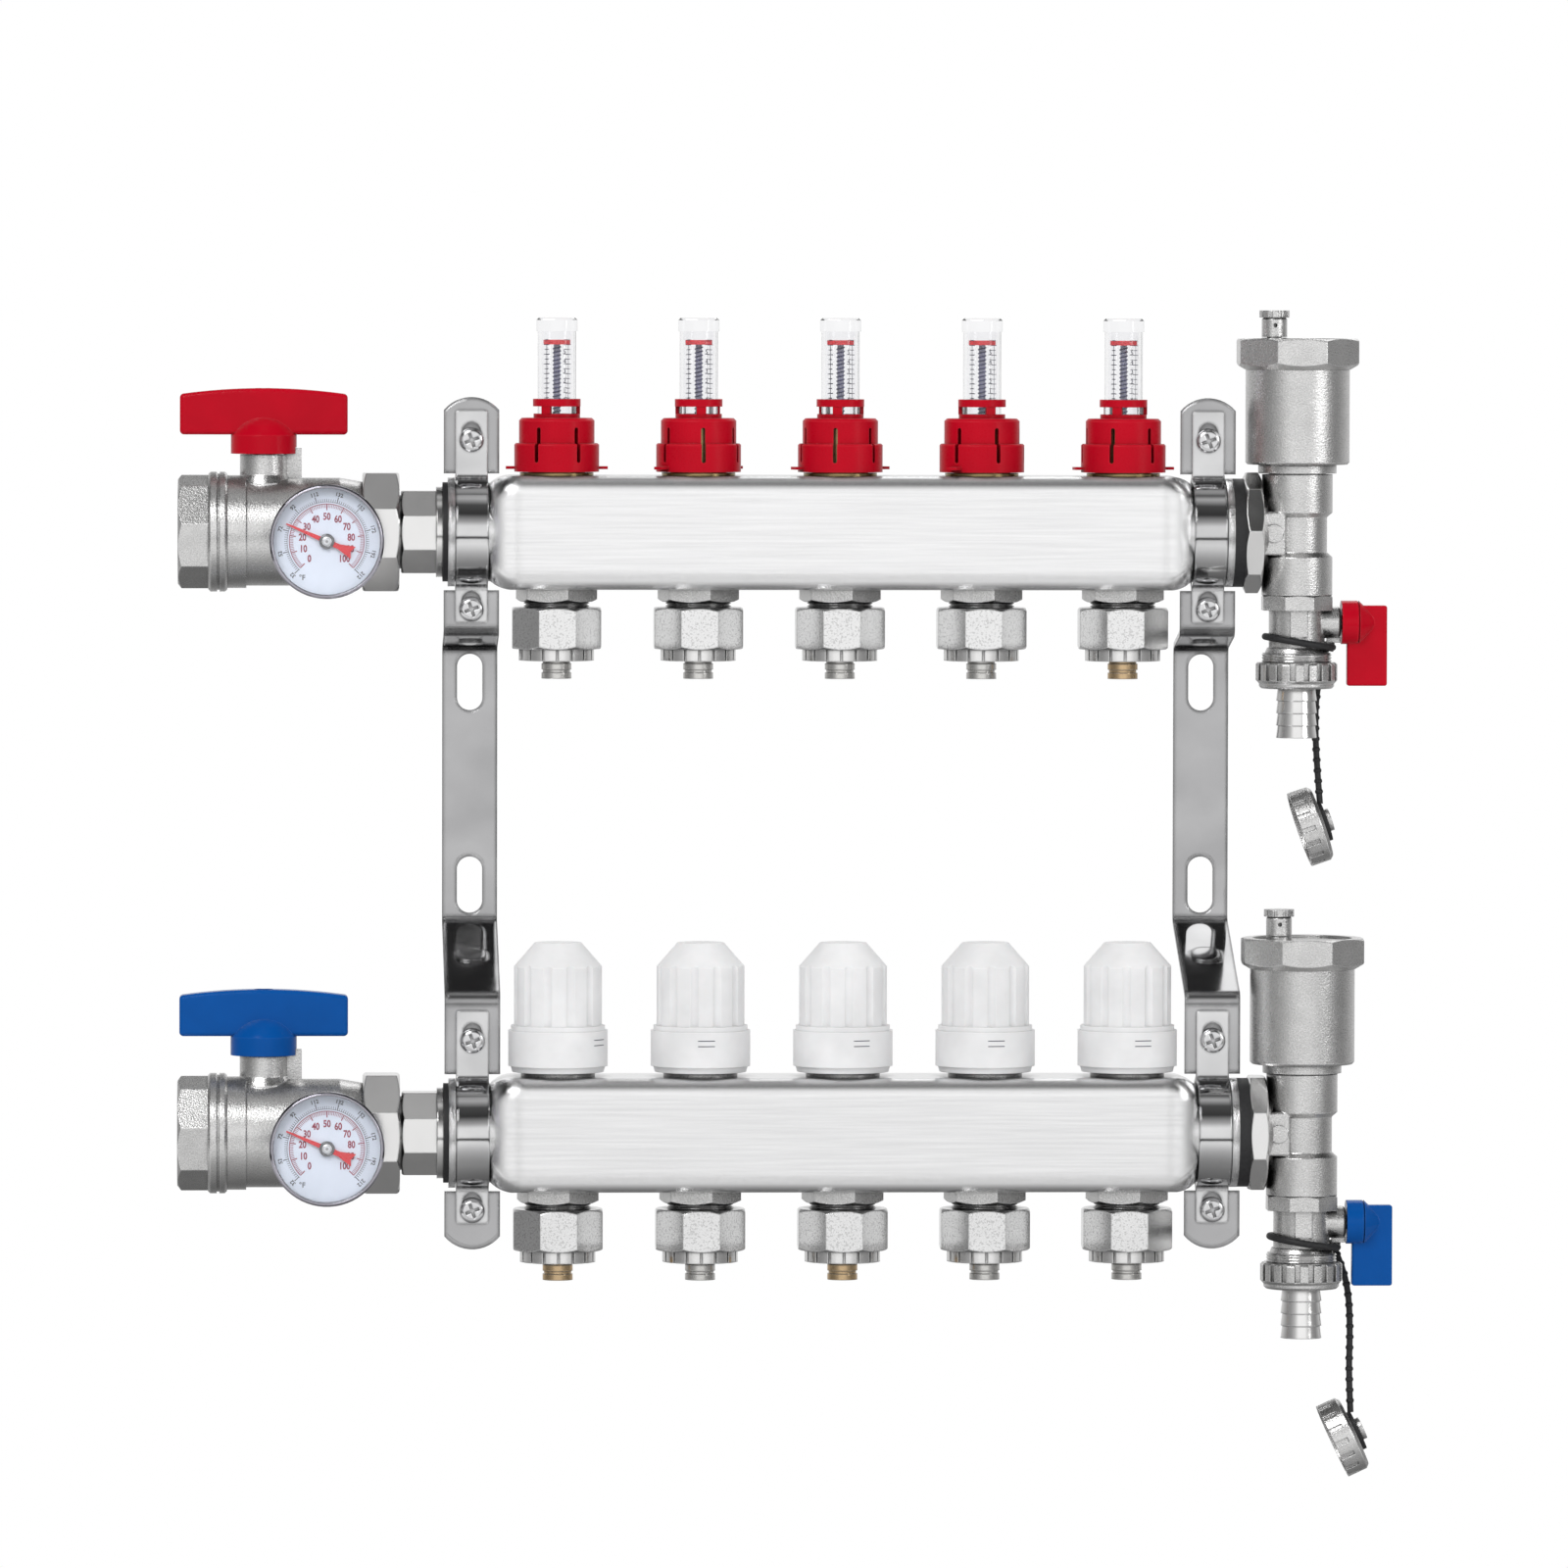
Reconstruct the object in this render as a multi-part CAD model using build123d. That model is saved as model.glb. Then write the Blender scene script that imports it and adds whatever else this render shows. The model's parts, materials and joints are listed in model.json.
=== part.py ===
from build123d import *
import os
from math import cos, pi, radians, sin, sqrt

# Heating manifold with five branches, fixed to a wall.
# Millimetres, +X right, +Y into the wall, +Z up. The wall is the plane Y = 0, and the origin lies
# midway between the four wall slots.

# Layout
branch_count = 5
branch_pitch = 50
supply_height = 90
bar_centres = 210
supply_reach = 32
return_reach = 62
bracket_gap = 2.25

# Clearances
thread_fit = 0.1
running_fit = 0.3
shaft_fit = 0.06
face_gap = 0.3

# Small turned edges
edge = 0.8
fine_edge = 0.6

# Bars
bar_length = 255.5
bar_height = 40
bar_depth = 38
bar_wall = 1.5
bar_edge_radius = 5
shoulder_radius = 12
corner_blend = 13.5
neck_step = 2.55
neck_radius = 17.4
neck_bore = 15.9
neck_reach = 10.65
flange_radius = 19.2
flange_thickness = 2.4
top_port_radius = 10.2
bottom_port_radius = 9.9

# Wall brackets
strip_width = 19.5
strip_thickness = 2
bracket_rise = 47.5
bracket_drop = 41
bracket_end_radius = 12.7
saddle_width = 11.5
saddle_notch = 20.6
bend_radius = 3
fold_room = 1.4
upper_web = (35.5, 41)
lower_web = (71, 48)
slot_margin = 13
slot_width = 9
slot_length = 20
pad_height = 0.8
upper_pad = (8.7, 7)
lower_pad = (10.3, 11.8)

# Clamps
strap_width = 11.5
strap_thickness = 1.4
strap_top = 43
strap_bottom = 32
strap_bend = 2.5
clamp_hole = 6.6
clamp_slot = 9.6
upper_screw = 32.4
lower_screw = 27.2
screw_radius = 2.5
screw_head_radius = 4.35
screw_head_height = 2.9
screw_spare = 2
cross_width = 1.1
cross_length = 5.2
cross_depth = 1.3

# Inlet valves, measured outwards along the bar
left_seal = 1.8
left_seal_radius = 17.5
seal_depth = 3
tail_collar = 2.3
tail_collar_radius = 15.9
tail_flats = 28.8
tail_flats_length = 12.3
tail_thread_length = 11
tail_neck_radius = 13
tail_lip = 2.5
tail_lip_radius = 16.6
waterway = 8.5
nut_gap = 0.7
union_flats = 41.4
union_length = 12.9
union_wall = 2.4
valve_thread_radius = 17.3
stem_from_nut = 34.7
body_radius = 19
body_end_radius = 17.6
body_taper = 8
body_ring_radius = 19.85
body_ring_length = 6.7
body_ring_from_stem = 6.1
adapter_collar_radius = 21.1
adapter_collar_length = 6.7
adapter_rib = 1.9
adapter_groove = 0.9
adapter_bevel = 1.4
adapter_flats = 37.2
adapter_flats_length = 10.7
adapter_turn = 9
adapter_recess = 5
adapter_recess_radius = 18.4
inlet_bore = 15.3
inlet_shoulder = 0.5
chamber_radius = 15.4
ball_radius = 13.4
ball_slot_depth = 3
tongue_width = 3.2
seat_depth = 3.1
seat_offset = 9.5
bonnet_radius = 8.4
bonnet_foot_radius = 9.8
bonnet_top = 27.2
fin_inner = 7
fin_outer = 13.3
fin_top = 29.4
fin_thickness = 4
stem_radius = 4
stem_square = 5

# T handles
hub_radius = 11.6
hub_skirt_top = 34
hub_dome_radius = 13.2
handle_length = 59
handle_bottom = 34.2
handle_end_top = 48.4
handle_crest = 50.5
handle_thickness = 9
handle_edge = 1.5
hub_notch_margin = 16
handle_screw_radius = 1.9
handle_screw_head = 3.4
handle_screw_recess = 3
handle_screw_cover = 1.6
handle_screw_grip = 6
handle_screw_rim = 1.4

# Dial gauges
gauge_from_nut = 12.8
gauge_drop = 2.3
gauge_front = 48
bezel_rim = 0.7
bezel_depth = 2.6
case_radius = 19.3
case_depth = 11
case_round = 1.5
case_wall = 0.6
case_floor = 2
gauge_stem_radius = 5
gauge_boss_radius = 8.5
gauge_boss_reach = 25
gauge_seat = 22
dial_thickness = 0.6
dial_depth = 4.6
lens_thickness = 1.2
lens_depth = 1
needle_angle = 156.6
needle_length = 15.4
needle_tail = 10
needle_thickness = 0.4
needle_lift = 0.7
needle_pin = 0.6
needle_root = 0.9
needle_tip = 0.25
needle_fan = 2.3
needle_hub = 1.9

# Right end
right_seal = 3.9
right_seal_radius = 19.15
reducer_flats = 39.4
reducer_length = 6.3
reducer_turn = {"supply": -2.6, "return": 22.5}
reducer_thread_length = 11
tee_reach = 13
tee_radius = 12.5
tee_waist = 10.6
tee_top = 20.7
tee_bottom = 21.9
tee_socket = 13.4
tee_bevel = 1.7
tee_bore = 10.3
tee_socket_depth = 12
branch_radius = 8
branch_flare = 14
branch_flare_length = 2
branch_emboss = 3.2
branch_emboss_rise = 0.45
branch_block = (8.2, 10.7, 15.5)
branch_block_edge = 1

# Vents
vent_base = (0.4, 2.8)
vent_base_radius = 13.85
vent_radius = 18.4
vent_body_length = 33.5
vent_neck = 0.3
vent_wall = 2
vent_thread_radius = 10.2
vent_thread_length = 10
vent_inlet_radius = 6.2
lid_flats = 42
lid_length = 8.4
lid_bevel = 2.4
lid_recess = 1
lid_recess_radius = 17.5
lid_plug = 5
bleed_step = 0.4
bleed_offset = 8.3
bleed_pin_radius = 2.6
bleed_pin_height = 6
bleed_radius = 4.5
bleed_height = 6.8
bleed_crown_radius = 5.3
bleed_crown_height = 2.5
bleed_notches = 10
bleed_notch = 1.05
bleed_hole = 0.7

# Drain valves, measured down from the tee
drain_flats = 24.4
drain_flats_length = 5.4
drain_thread_radius = 10.2
drain_thread_length = 10
drain_radius = 9.9
drain_body_length = 13.3
drain_flare_radius = 11.3
drain_flare_length = 1.8
drain_spigot_radius = 12
drain_spigot_length = 10
drain_bore = 5.5
drain_ball_radius = 8
drain_stem_drop = 9.7
drain_boss_radius = 5.6
drain_boss_end = 15.4
drain_stop = (4.8, 3, 2)
drain_square = 3.64
drain_stem_radius = 2.6
drain_pad_width = 6
drain_pad_length = 9.4
hose_nut_radius = 14.4
hose_nut_length = 9.1
hose_nut_gap = 3.4
hose_nut_ribs = 18
hose_rim_radius = 13.3
hose_rib_length = 6.2
hose_slope = 1.2
hose_groove = (2.4, 2)
hose_lip = 2
tail_length = 17.5
tail_radius = 7.1
tail_barb = 0.45
tail_barbs = 4
tail_bore = 4.6
lever_hub_radius = 7.7
lever_hub_length = 6.2
lever_width = 14.2
lever_inset = 2
lever_rise = 6
lever_reach = 22.4
lever_thickness = 5
lever_socket = 4.2
lever_shoulder = 5.5
lever_edge = 0.9

# Cap straps, their places measured from the middle of each tee
loop_radius = 1.2
loop_room = 1
loop_shift = 0.8
loop_drop = 16.6
loop_tilt = 9
lobe_radius = 2.6
lobe_length = 3.2
cord_radius = 1.1
eye_radius = 7.2
eye_thickness = 1.7
cap_radius = 13.6
cap_thickness = 8.3
cap_wall = 1.6
cap_ribs = 16
cap_round = 1.2
cap_groove = (1.2, 1.6)
cap_boss_radius = 4
cap_neck_radius = 2.8
cap_boss_thickness = 1.6
supply_cap_centre = (6.3, 13, -104.3)
return_cap_centre = (16, 11.5, -108.5)
supply_cap_tilt = 19
return_cap_tilt = 25
supply_route = [
    (11.6, 11.0, -40.4), (10.4, 14.0, -48.5), (8.2, 15.4, -58.0), (8.0, 14.8, -71.5),
    (8.6, 13.4, -84.0), (9.6, 13.0, -96.4),
]
return_route = [
    (12.0, 10.5, -40.6), (15.6, 12.6, -48.0), (18.0, 13.0, -58.5), (18.4, 12.2, -72.0),
    (17.9, 11.4, -86.0), (18.6, 11.5, -99.8),
]

# Flow meters on the supply bar, measured up from the bar
insert_flange = 1
insert_flange_radius = 13
insert_neck_radius = 10
insert_neck_top = 17
insert_bore = 6.4
insert_waterway = 5.2
insert_shank = 6
collar_skirt_radius = 14.95
collar_skirt_top = 11.3
collar_radius = 13.3
collar_top = 20.2
collar_edge = 0.5
collar_crown = 0.9
collar_disc_radius = 8.2
collar_disc = 1.5
collar_pillars = 2.6
pillar_depth = 1.6
pillar_width = 3.4
collar_ring = 2.6
collar_ring_radius = 8.4
collar_slits = 6
slit_width = 1.45
slit_bottom = 4.6
slit_top = 17
ear_width = 4.4
ear_reach = 3
ear_thickness = 1
ear_lift = 0.9
collar_turns = (0, 35, 20, 50, 10)
tube_radius = 6.7
tube_bore = 5.4
tube_top = 50.8
tube_foot = 4
tube_cap_radius = 7.25
tube_cap = 4.7
float_radius = 4.75
float_thickness = 1.6
float_height = 46.9
rod_radius = 1.15
rod_foot = -6
plunger_radius = 4.6
plunger_height = 3

# Valve caps on the return bar, measured up from the bar
valve_flange_radius = 13
valve_flange = 1.3
valve_thread = 12
valve_thread_top = 14
valve_pin_radius = 2.5
valve_pin_top = 19
knob_lip_radius = 16.65
knob_lip = 2.4
knob_ring_radius = 17.45
knob_ring = 12.5
knob_step_radius = 16.5
knob_step = 1.7
knob_radius = 15.4
knob_body = 20.7
knob_cone = 8.3
knob_top_radius = 8.15
knob_flutes = 12
flute_radius = 2.2
flute_depth = 0.7
knob_bore_top = 20

# Branch connections, measured down from each bar
nipple_flats = 25.6
nipple_flats_length = 4.5
nipple_turn = 16
nipple_neck_radius = 10.8
nipple_neck = 2
nipple_thread_radius = 11.7
nipple_thread_length = 9
nipple_bore = 6
nipple_shank = 6
branch_nut_flats = 31.2
branch_nut_length = 14.6
branch_nut_bevel = 1.1
branch_nut_wall = 2
branch_ring_radius = 13.25
branch_ring_length = 4.1
branch_ring_stub = 2.5
branch_ring_grooves = 16
branch_ring_groove = (1.4, 0.9)
pipe_space = 8
insert_radius = 5.3
insert_length = 6.4
pipe_insert_bore = 3.8
insert_ridge = 0.45

# Places that follow from the sizes above
return_height = supply_height - bar_centres
bar_axes = {"supply": (supply_reach, supply_height), "return": (return_reach, return_height)}
branch_places = [branch_pitch * (i - (branch_count - 1) / 2) for i in range(branch_count)]
bar_top = bar_height / 2
facing = Rot(90, 0, 0)
leftwards = Rot(0, -90, 0)
rightwards = Rot(0, 90, 0)
hanging = Rot(180, 0, 0)
standing = (Align.CENTER, Align.CENTER, Align.MIN)

neck_end = bar_length / 2 + neck_reach
bracket_offset = bar_length / 2 + bracket_gap
upper_wall = supply_height - upper_web[1]
lower_wall = return_height + lower_web[0]
slot_middle = (upper_wall + lower_wall) / 2
slot_pitch = upper_wall - lower_wall - 2 * slot_margin
tail_start = neck_end + left_seal
nut_start = tail_start + tail_collar + tail_flats_length + nut_gap
nut_end = nut_start + union_length
gauge_offset = nut_end + gauge_from_nut
valve_axis = nut_end + stem_from_nut
ring_start = valve_axis + body_ring_from_stem
collar_start = ring_start + body_ring_length
adapter_start = collar_start + adapter_collar_length
reducer_start = neck_end + right_seal
reducer_end = reducer_start + reducer_length
tee_offset = reducer_end + tee_reach
bezel_radius = case_radius + bezel_rim
drain_start = tee_bottom
drain_body_end = drain_flats_length + drain_body_length
hose_nut_start = drain_body_end + drain_flare_length + hose_nut_gap


def at_bar(bar, x=0, up=0):
    """The place on a bar's axis at x, raised by up."""
    reach, height = bar_axes[bar]
    return Pos(x, -reach, height + up)


def on_both(piece, x=0, up=0):
    return [at_bar(bar, x, up) * piece for bar in bar_axes]


def turned(bands, bore=0):
    """A turned piece about +Z, from (length, start radius, end radius) bands stacked from Z = 0."""
    points = [(bore, 0)]
    level = 0
    for length, start, end in bands:
        points.append((start, level))
        level += length
        points.append((end, level))
    points.append((bore, level))
    corners = [p for i, p in enumerate(points) if i == 0 or p != points[i - 1]]
    outline = make_face(Polyline(*corners, close=True))
    return revolve(Plane.XZ * outline, Axis.Z)


def flats(across, length, sides=8, turn=0, bevels=(0, 0)):
    """A prism about +Z with its flats `across` apart, its corners turned down at the ends."""
    prism = extrude(RegularPolygon(across / 2, sides, major_radius=False, rotation=turn), length)
    if bevels == (0, 0):
        return prism
    low, high = bevels
    corner = across / 2 / cos(pi / sides) + 0.01
    end = across / 2 * 0.985
    bands = [(length - low - high, corner, corner)]
    if low:
        bands.insert(0, (low, end, corner))
    if high:
        bands.append((high, corner, end))
    return prism & turned(bands)


def bar(ports_up, ports_down):
    """A hollow bar with rounded edges, smooth shoulders and a round, flanged neck at each end."""
    section = Plane.YZ * RectangleRounded(bar_depth, bar_height, bar_edge_radius)
    body = extrude(section, bar_length / 2, both=True)
    front_form = RectangleRounded(bar_length, bar_height, shoulder_radius)
    body &= extrude(Plane.XZ * front_form, bar_depth, both=True)
    plan_form = RectangleRounded(bar_length, bar_depth, shoulder_radius)
    body &= extrude(plan_form, bar_height, both=True)
    corner = sqrt((bar_height / 2 - bar_edge_radius) ** 2 + (bar_depth / 2 - bar_edge_radius) ** 2)
    blank = Cylinder(corner + bar_edge_radius + 0.1, bar_length - 2 * neck_step)
    body &= rightwards * fillet(blank.edges().filter_by(GeomType.CIRCLE), corner_blend)
    body += rightwards * Cylinder(neck_radius, 2 * neck_end)
    flange = Cylinder(flange_radius, flange_thickness)
    for side in (-1, 1):
        body += Pos(side * (neck_end - flange_thickness / 2), 0, 0) * rightwards * flange
    hollow_section = RectangleRounded(
        bar_depth - 2 * bar_wall, bar_height - 2 * bar_wall, bar_edge_radius - bar_wall)
    hollow_half = bar_length / 2 - shoulder_radius - bar_wall
    body -= extrude(Plane.YZ * hollow_section, hollow_half, both=True)
    body -= rightwards * Cylinder(neck_bore, 2 * neck_end)
    for x in branch_places:
        body -= Pos(x, 0, bar_height / 2) * Cylinder(ports_up, 6 * bar_wall)
        body -= Pos(x, 0, -bar_height / 2) * Cylinder(ports_down, 6 * bar_wall)
    return body


def folded_strip(edges, radius, thickness, width):
    """A strip bent along a side path of joined edges, centred on X = 0."""
    path = Wire(edges)
    inner = path.vertices().sort_by_distance(path.position_at(0))[1:-1]
    rounded = path.fillet_2d(radius, inner)
    side = trace(rounded, thickness)
    return extrude(Plane.YZ * side, width / 2, both=True)


def saddle(reach, height, radius, offset, side):
    """The arc of a strip round a neck, with its start and end on the line that its tabs follow."""
    rise = sqrt(radius ** 2 - offset ** 2)
    line = -reach + side * offset
    start = (line, height + rise)
    end = (line, height - rise)
    return start, ThreePointArc(start, (-reach + side * radius, height), end), end


def wall_bracket():
    """A folded strip with saddles, wall slots and stepped webs, as the lengths between its folds."""
    half = strip_thickness / 2
    seat = neck_radius + thread_fit + half
    s_start, s_arc, s_end = saddle(supply_reach, supply_height, seat, half, 1)
    r_start, r_arc, r_end = saddle(return_reach, return_height, seat, half, 1)
    upper_line = -supply_reach + half
    lower_line = -return_reach + half
    bracket_top = supply_height + bracket_rise
    bracket_bottom = return_height - bracket_drop
    corners = [
        (upper_line, supply_height - upper_web[0]), (-half, upper_wall),
        (-half, lower_wall), (lower_line, return_height + lower_web[1]),
    ]
    edges = [Line((upper_line, bracket_top), s_start), s_arc, Line(s_end, corners[0])]
    edges += [Line(a, b) for a, b in zip(corners, corners[1:])]
    edges += [Line(corners[-1], r_start), r_arc, Line(r_end, (lower_line, bracket_bottom))]
    strip = folded_strip(edges, bend_radius, strip_thickness, strip_width)

    half_width = strip_width / 2
    sag = bracket_end_radius - sqrt(bracket_end_radius ** 2 - half_width ** 2)
    outline = Polyline(
        (-half_width, bracket_bottom + sag), (-half_width, bracket_top - sag))
    outline += ThreePointArc(
        (-half_width, bracket_top - sag), (0, bracket_top), (half_width, bracket_top - sag))
    outline += Line((half_width, bracket_top - sag), (half_width, bracket_bottom + sag))
    outline += ThreePointArc(
        (half_width, bracket_bottom + sag), (0, bracket_bottom), (-half_width, bracket_bottom + sag))
    depth = return_reach + 2 * strip_thickness
    strip &= extrude(Plane.XZ * make_face(outline), depth, both=True)

    for height in (supply_height, return_height):
        for side in (-1, 1):
            notch = Box(strip_width, 2 * depth, 2 * saddle_notch)
            strip -= Pos(side * (saddle_width + strip_width) / 2, 0, height) * notch

    holes = Sketch()
    for side in (-1, 1):
        slot_place = Pos(0, slot_middle + side * slot_pitch / 2) * Rot(0, 0, 90)
        holes += slot_place * SlotOverall(slot_length, slot_width)
    for height in (supply_height, return_height):
        holes += Pos(0, height + upper_screw) * Circle(screw_radius + thread_fit)
        holes += Pos(0, height - lower_screw) * Circle(screw_radius + thread_fit)
    strip -= extrude(Plane.XZ * holes, depth, both=True)

    for start, end, size in ((*corners[:2], upper_pad), (*corners[2:], lower_pad)):
        step = Vector(0, end[0] - start[0], end[1] - start[1])
        middle = Vector(0, (start[0] + end[0]) / 2, (start[1] + end[1]) / 2)
        normal = step.cross(Vector(1, 0, 0)).normalized()
        if normal.Y > 0:
            normal = -normal
        plane = Plane(middle + normal * half, x_dir=(1, 0, 0), z_dir=normal)
        strip += extrude(plane * RectangleRounded(size[0], size[1], size[0] * 0.4), pad_height)

    folds = [
        bracket_top, supply_height - saddle_notch, corners[0][1] + fold_room, upper_wall - fold_room,
        lower_wall + fold_room, corners[-1][1] - 2 * fold_room, return_height + saddle_notch,
        bracket_bottom]
    lengths = []
    for top, bottom in zip(folds, folds[1:]):
        length = Box(strip_width, 2 * depth, top - bottom)
        lengths.append(strip & Pos(0, 0, (top + bottom) / 2) * length)
    return lengths


def clamp_strap():
    """A strap round the front of a neck, with a slotted tab above and below; centred on the bar's axis."""
    half = strap_thickness / 2
    start, arc, end = saddle(0, 0, neck_radius + thread_fit + half, half, -1)
    edges = [Line((-half, strap_top), start), arc, Line(end, (-half, -strap_bottom))]
    strap = folded_strip(edges, strap_bend, strap_thickness, strap_width)
    middle = (strap_top - strap_bottom) / 2
    outline = Pos(0, middle) * RectangleRounded(strap_width, strap_top + strap_bottom, 1)
    slots = Sketch()
    for height in (upper_screw, -lower_screw):
        slot = Rot(0, 0, 90) * SlotOverall(clamp_slot, clamp_hole)
        slots += Pos(0, height + (clamp_slot - clamp_hole) / 2) * slot
    strap &= extrude(Plane.XZ * (outline - slots), 2 * neck_radius, both=True)
    return strap


def clamp_screw():
    """A pan-head cross screw facing the front, its head seated on the plane Z = 0 before turning."""
    head = Cylinder(screw_head_radius, screw_head_height, align=standing)
    head = fillet(head.edges().sort_by(Axis.Z)[-1:], screw_head_height * 0.55)
    shank = strap_thickness + strip_thickness + screw_spare
    screw = head + Pos(0, 0, -shank / 2) * Cylinder(screw_radius, shank)
    for turn in (20, 110):
        slot = Box(cross_length, cross_width, 2 * cross_depth)
        screw -= Pos(0, 0, screw_head_height) * Rot(0, 0, turn) * slot
    return facing * screw


def union_tailpiece():
    """Screwed into the bar's neck, with flats and a lip for the union nut; outwards along +Z."""
    thread = neck_bore - thread_fit
    piece = Pos(0, 0, neck_end - tail_thread_length) * turned([
        (tail_thread_length, thread, thread),
        (left_seal, left_seal_radius - seal_depth, left_seal_radius - seal_depth),
        (tail_collar, tail_collar_radius, tail_collar_radius)])
    piece += Pos(0, 0, tail_start + tail_collar) * flats(
        tail_flats, tail_flats_length, turn=22.5, bevels=(0, 0.8))
    neck = nut_start - tail_start - tail_collar + union_wall
    piece += Pos(0, 0, tail_start + tail_collar) * Cylinder(
        tail_neck_radius, neck, align=standing)
    piece += Pos(0, 0, nut_start + union_wall) * turned([(tail_lip, tail_lip_radius, tail_lip_radius)])
    bore = Cylinder(waterway, 2 * nut_end)
    return piece - bore


def union_nut():
    body = flats(union_flats, union_length, turn=22.5, bevels=(1.2, 1.2))
    body -= Cylinder(tail_neck_radius + thread_fit, 3 * union_length)
    body -= Pos(0, 0, union_wall) * turned(
        [(union_length, valve_thread_radius + thread_fit, valve_thread_radius + thread_fit)])
    return Pos(0, 0, nut_start) * body


def valve_body():
    """Cast inlet valve body with bonnet, stop fin and gauge boss; along +Z, with +X up."""
    thread_start = nut_start + union_wall + tail_lip + thread_fit
    body = Pos(0, 0, thread_start) * turned([
        (nut_end - thread_start, valve_thread_radius, valve_thread_radius),
        (body_taper, body_end_radius, body_radius),
        (ring_start - nut_end - body_taper, body_radius, body_radius),
        (body_ring_length, body_ring_radius, body_ring_radius),
        (adapter_recess - thread_fit, adapter_recess_radius, adapter_recess_radius)])
    upright = Pos(0, 0, valve_axis) * rightwards
    bonnet_foot = body_radius * 0.9
    bonnet_blend = 3
    body += upright * turned([
        (bonnet_foot, bonnet_foot_radius, bonnet_foot_radius),
        (bonnet_blend, bonnet_foot_radius, bonnet_radius),
        (bonnet_top - bonnet_foot - bonnet_blend, bonnet_radius, bonnet_radius)])
    fin_length = fin_outer - fin_inner
    fin = Box(fin_top, fin_thickness, fin_length, align=(Align.MIN, Align.CENTER, Align.MAX))
    body += Pos(0, 0, valve_axis - fin_inner) * fin
    boss = Cylinder(gauge_boss_radius, gauge_boss_reach, align=standing)
    body += Pos(-gauge_drop, 0, gauge_offset) * facing * boss

    chamber_start = valve_axis - seat_offset - seat_depth
    chamber_end = collar_start + adapter_recess
    body -= Pos(0, 0, chamber_start) * turned([(chamber_end, chamber_radius, chamber_radius)])
    body -= Cylinder(waterway, 2 * valve_axis)
    body -= upright * Cylinder(stem_radius + shaft_fit, 4 * bonnet_top, align=standing)
    socket = Cylinder(gauge_stem_radius + thread_fit, gauge_boss_reach, align=standing)
    body -= Pos(-gauge_drop, 0, gauge_offset) * facing * Pos(0, 0, gauge_seat - 8) * socket
    return body


def end_adapter():
    """The threaded inlet end: it screws over the body and holds the outer seat."""
    outer = Pos(0, 0, collar_start) * turned([
        (edge, adapter_collar_radius - edge, adapter_collar_radius),
        (adapter_rib, adapter_collar_radius, adapter_collar_radius),
        (adapter_groove, adapter_collar_radius - fine_edge, adapter_collar_radius - fine_edge),
        (adapter_collar_length - adapter_rib - adapter_groove - 2 * edge,
         adapter_collar_radius, adapter_collar_radius),
        (edge, adapter_collar_radius, adapter_collar_radius - edge)])
    outer += Pos(0, 0, adapter_start) * flats(
        adapter_flats, adapter_flats_length, turn=adapter_turn, bevels=(0, adapter_bevel))
    recess = adapter_recess_radius + thread_fit
    outer -= Pos(0, 0, collar_start) * turned([(adapter_recess, recess, recess)])
    nose_start = valve_axis + seat_offset + seat_depth
    nose = chamber_radius - thread_fit
    outer += Pos(0, 0, nose_start) * turned(
        [(collar_start + adapter_recess - nose_start, nose, nose)])
    outer -= Cylinder(waterway, 4 * valve_axis)
    thread_start = adapter_start - inlet_shoulder
    outer -= Pos(0, 0, thread_start) * turned([(4 * adapter_flats_length, inlet_bore, inlet_bore)])
    return outer


def valve_seat_pair():
    rings = []
    radius = chamber_radius - thread_fit
    for side in (-1, 1):
        middle = valve_axis + side * (seat_offset + seat_depth / 2)
        ring = Pos(0, 0, middle) * Cylinder(radius, seat_depth)
        ring -= Cylinder(waterway, 4 * valve_axis)
        ring -= Pos(0, 0, valve_axis) * Sphere(ball_radius + running_fit)
        rings.append(ring)
    return rings


def handle_screw_seat():
    return handle_crest - handle_screw_recess - handle_screw_cover


def spindle():
    """Ball, stem and handle screw of an inlet valve, about the stem's axis with the bar's axis at Z = 0."""
    ball = Sphere(ball_radius)
    ball -= rightwards * Cylinder(waterway, 4 * ball_radius)
    slot_floor = ball_radius - ball_slot_depth
    slot = Box(tongue_width + 2 * thread_fit, 4 * ball_radius, ball_radius, align=standing)
    ball -= Pos(0, 0, slot_floor) * slot
    stem_foot = chamber_radius + face_gap
    square_top = handle_screw_seat() - handle_screw_recess
    square_base = bonnet_top + face_gap
    stem = Pos(0, 0, stem_foot) * turned([(square_base - stem_foot, stem_radius, stem_radius)])
    square = Box(stem_square, stem_square, square_top - square_base, align=standing)
    stem += Pos(0, 0, square_base) * square
    foot = stem_foot - slot_floor - thread_fit
    stem += Pos(0, 0, slot_floor + thread_fit) * Box(
        tongue_width, 1.8 * stem_radius, foot + fine_edge, align=standing)
    shank = handle_screw_radius - thread_fit
    stem -= Pos(0, 0, square_top) * Cylinder(shank + thread_fit, 2 * handle_screw_grip + 2 * edge)
    head = handle_screw_head - thread_fit
    screw = Pos(0, 0, square_top - handle_screw_grip) * turned([
        (handle_screw_seat() - square_top + handle_screw_grip, shank, shank),
        (handle_screw_rim, head, head),
        (fine_edge, head, head - edge)])
    return [ball, stem, screw]


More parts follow.
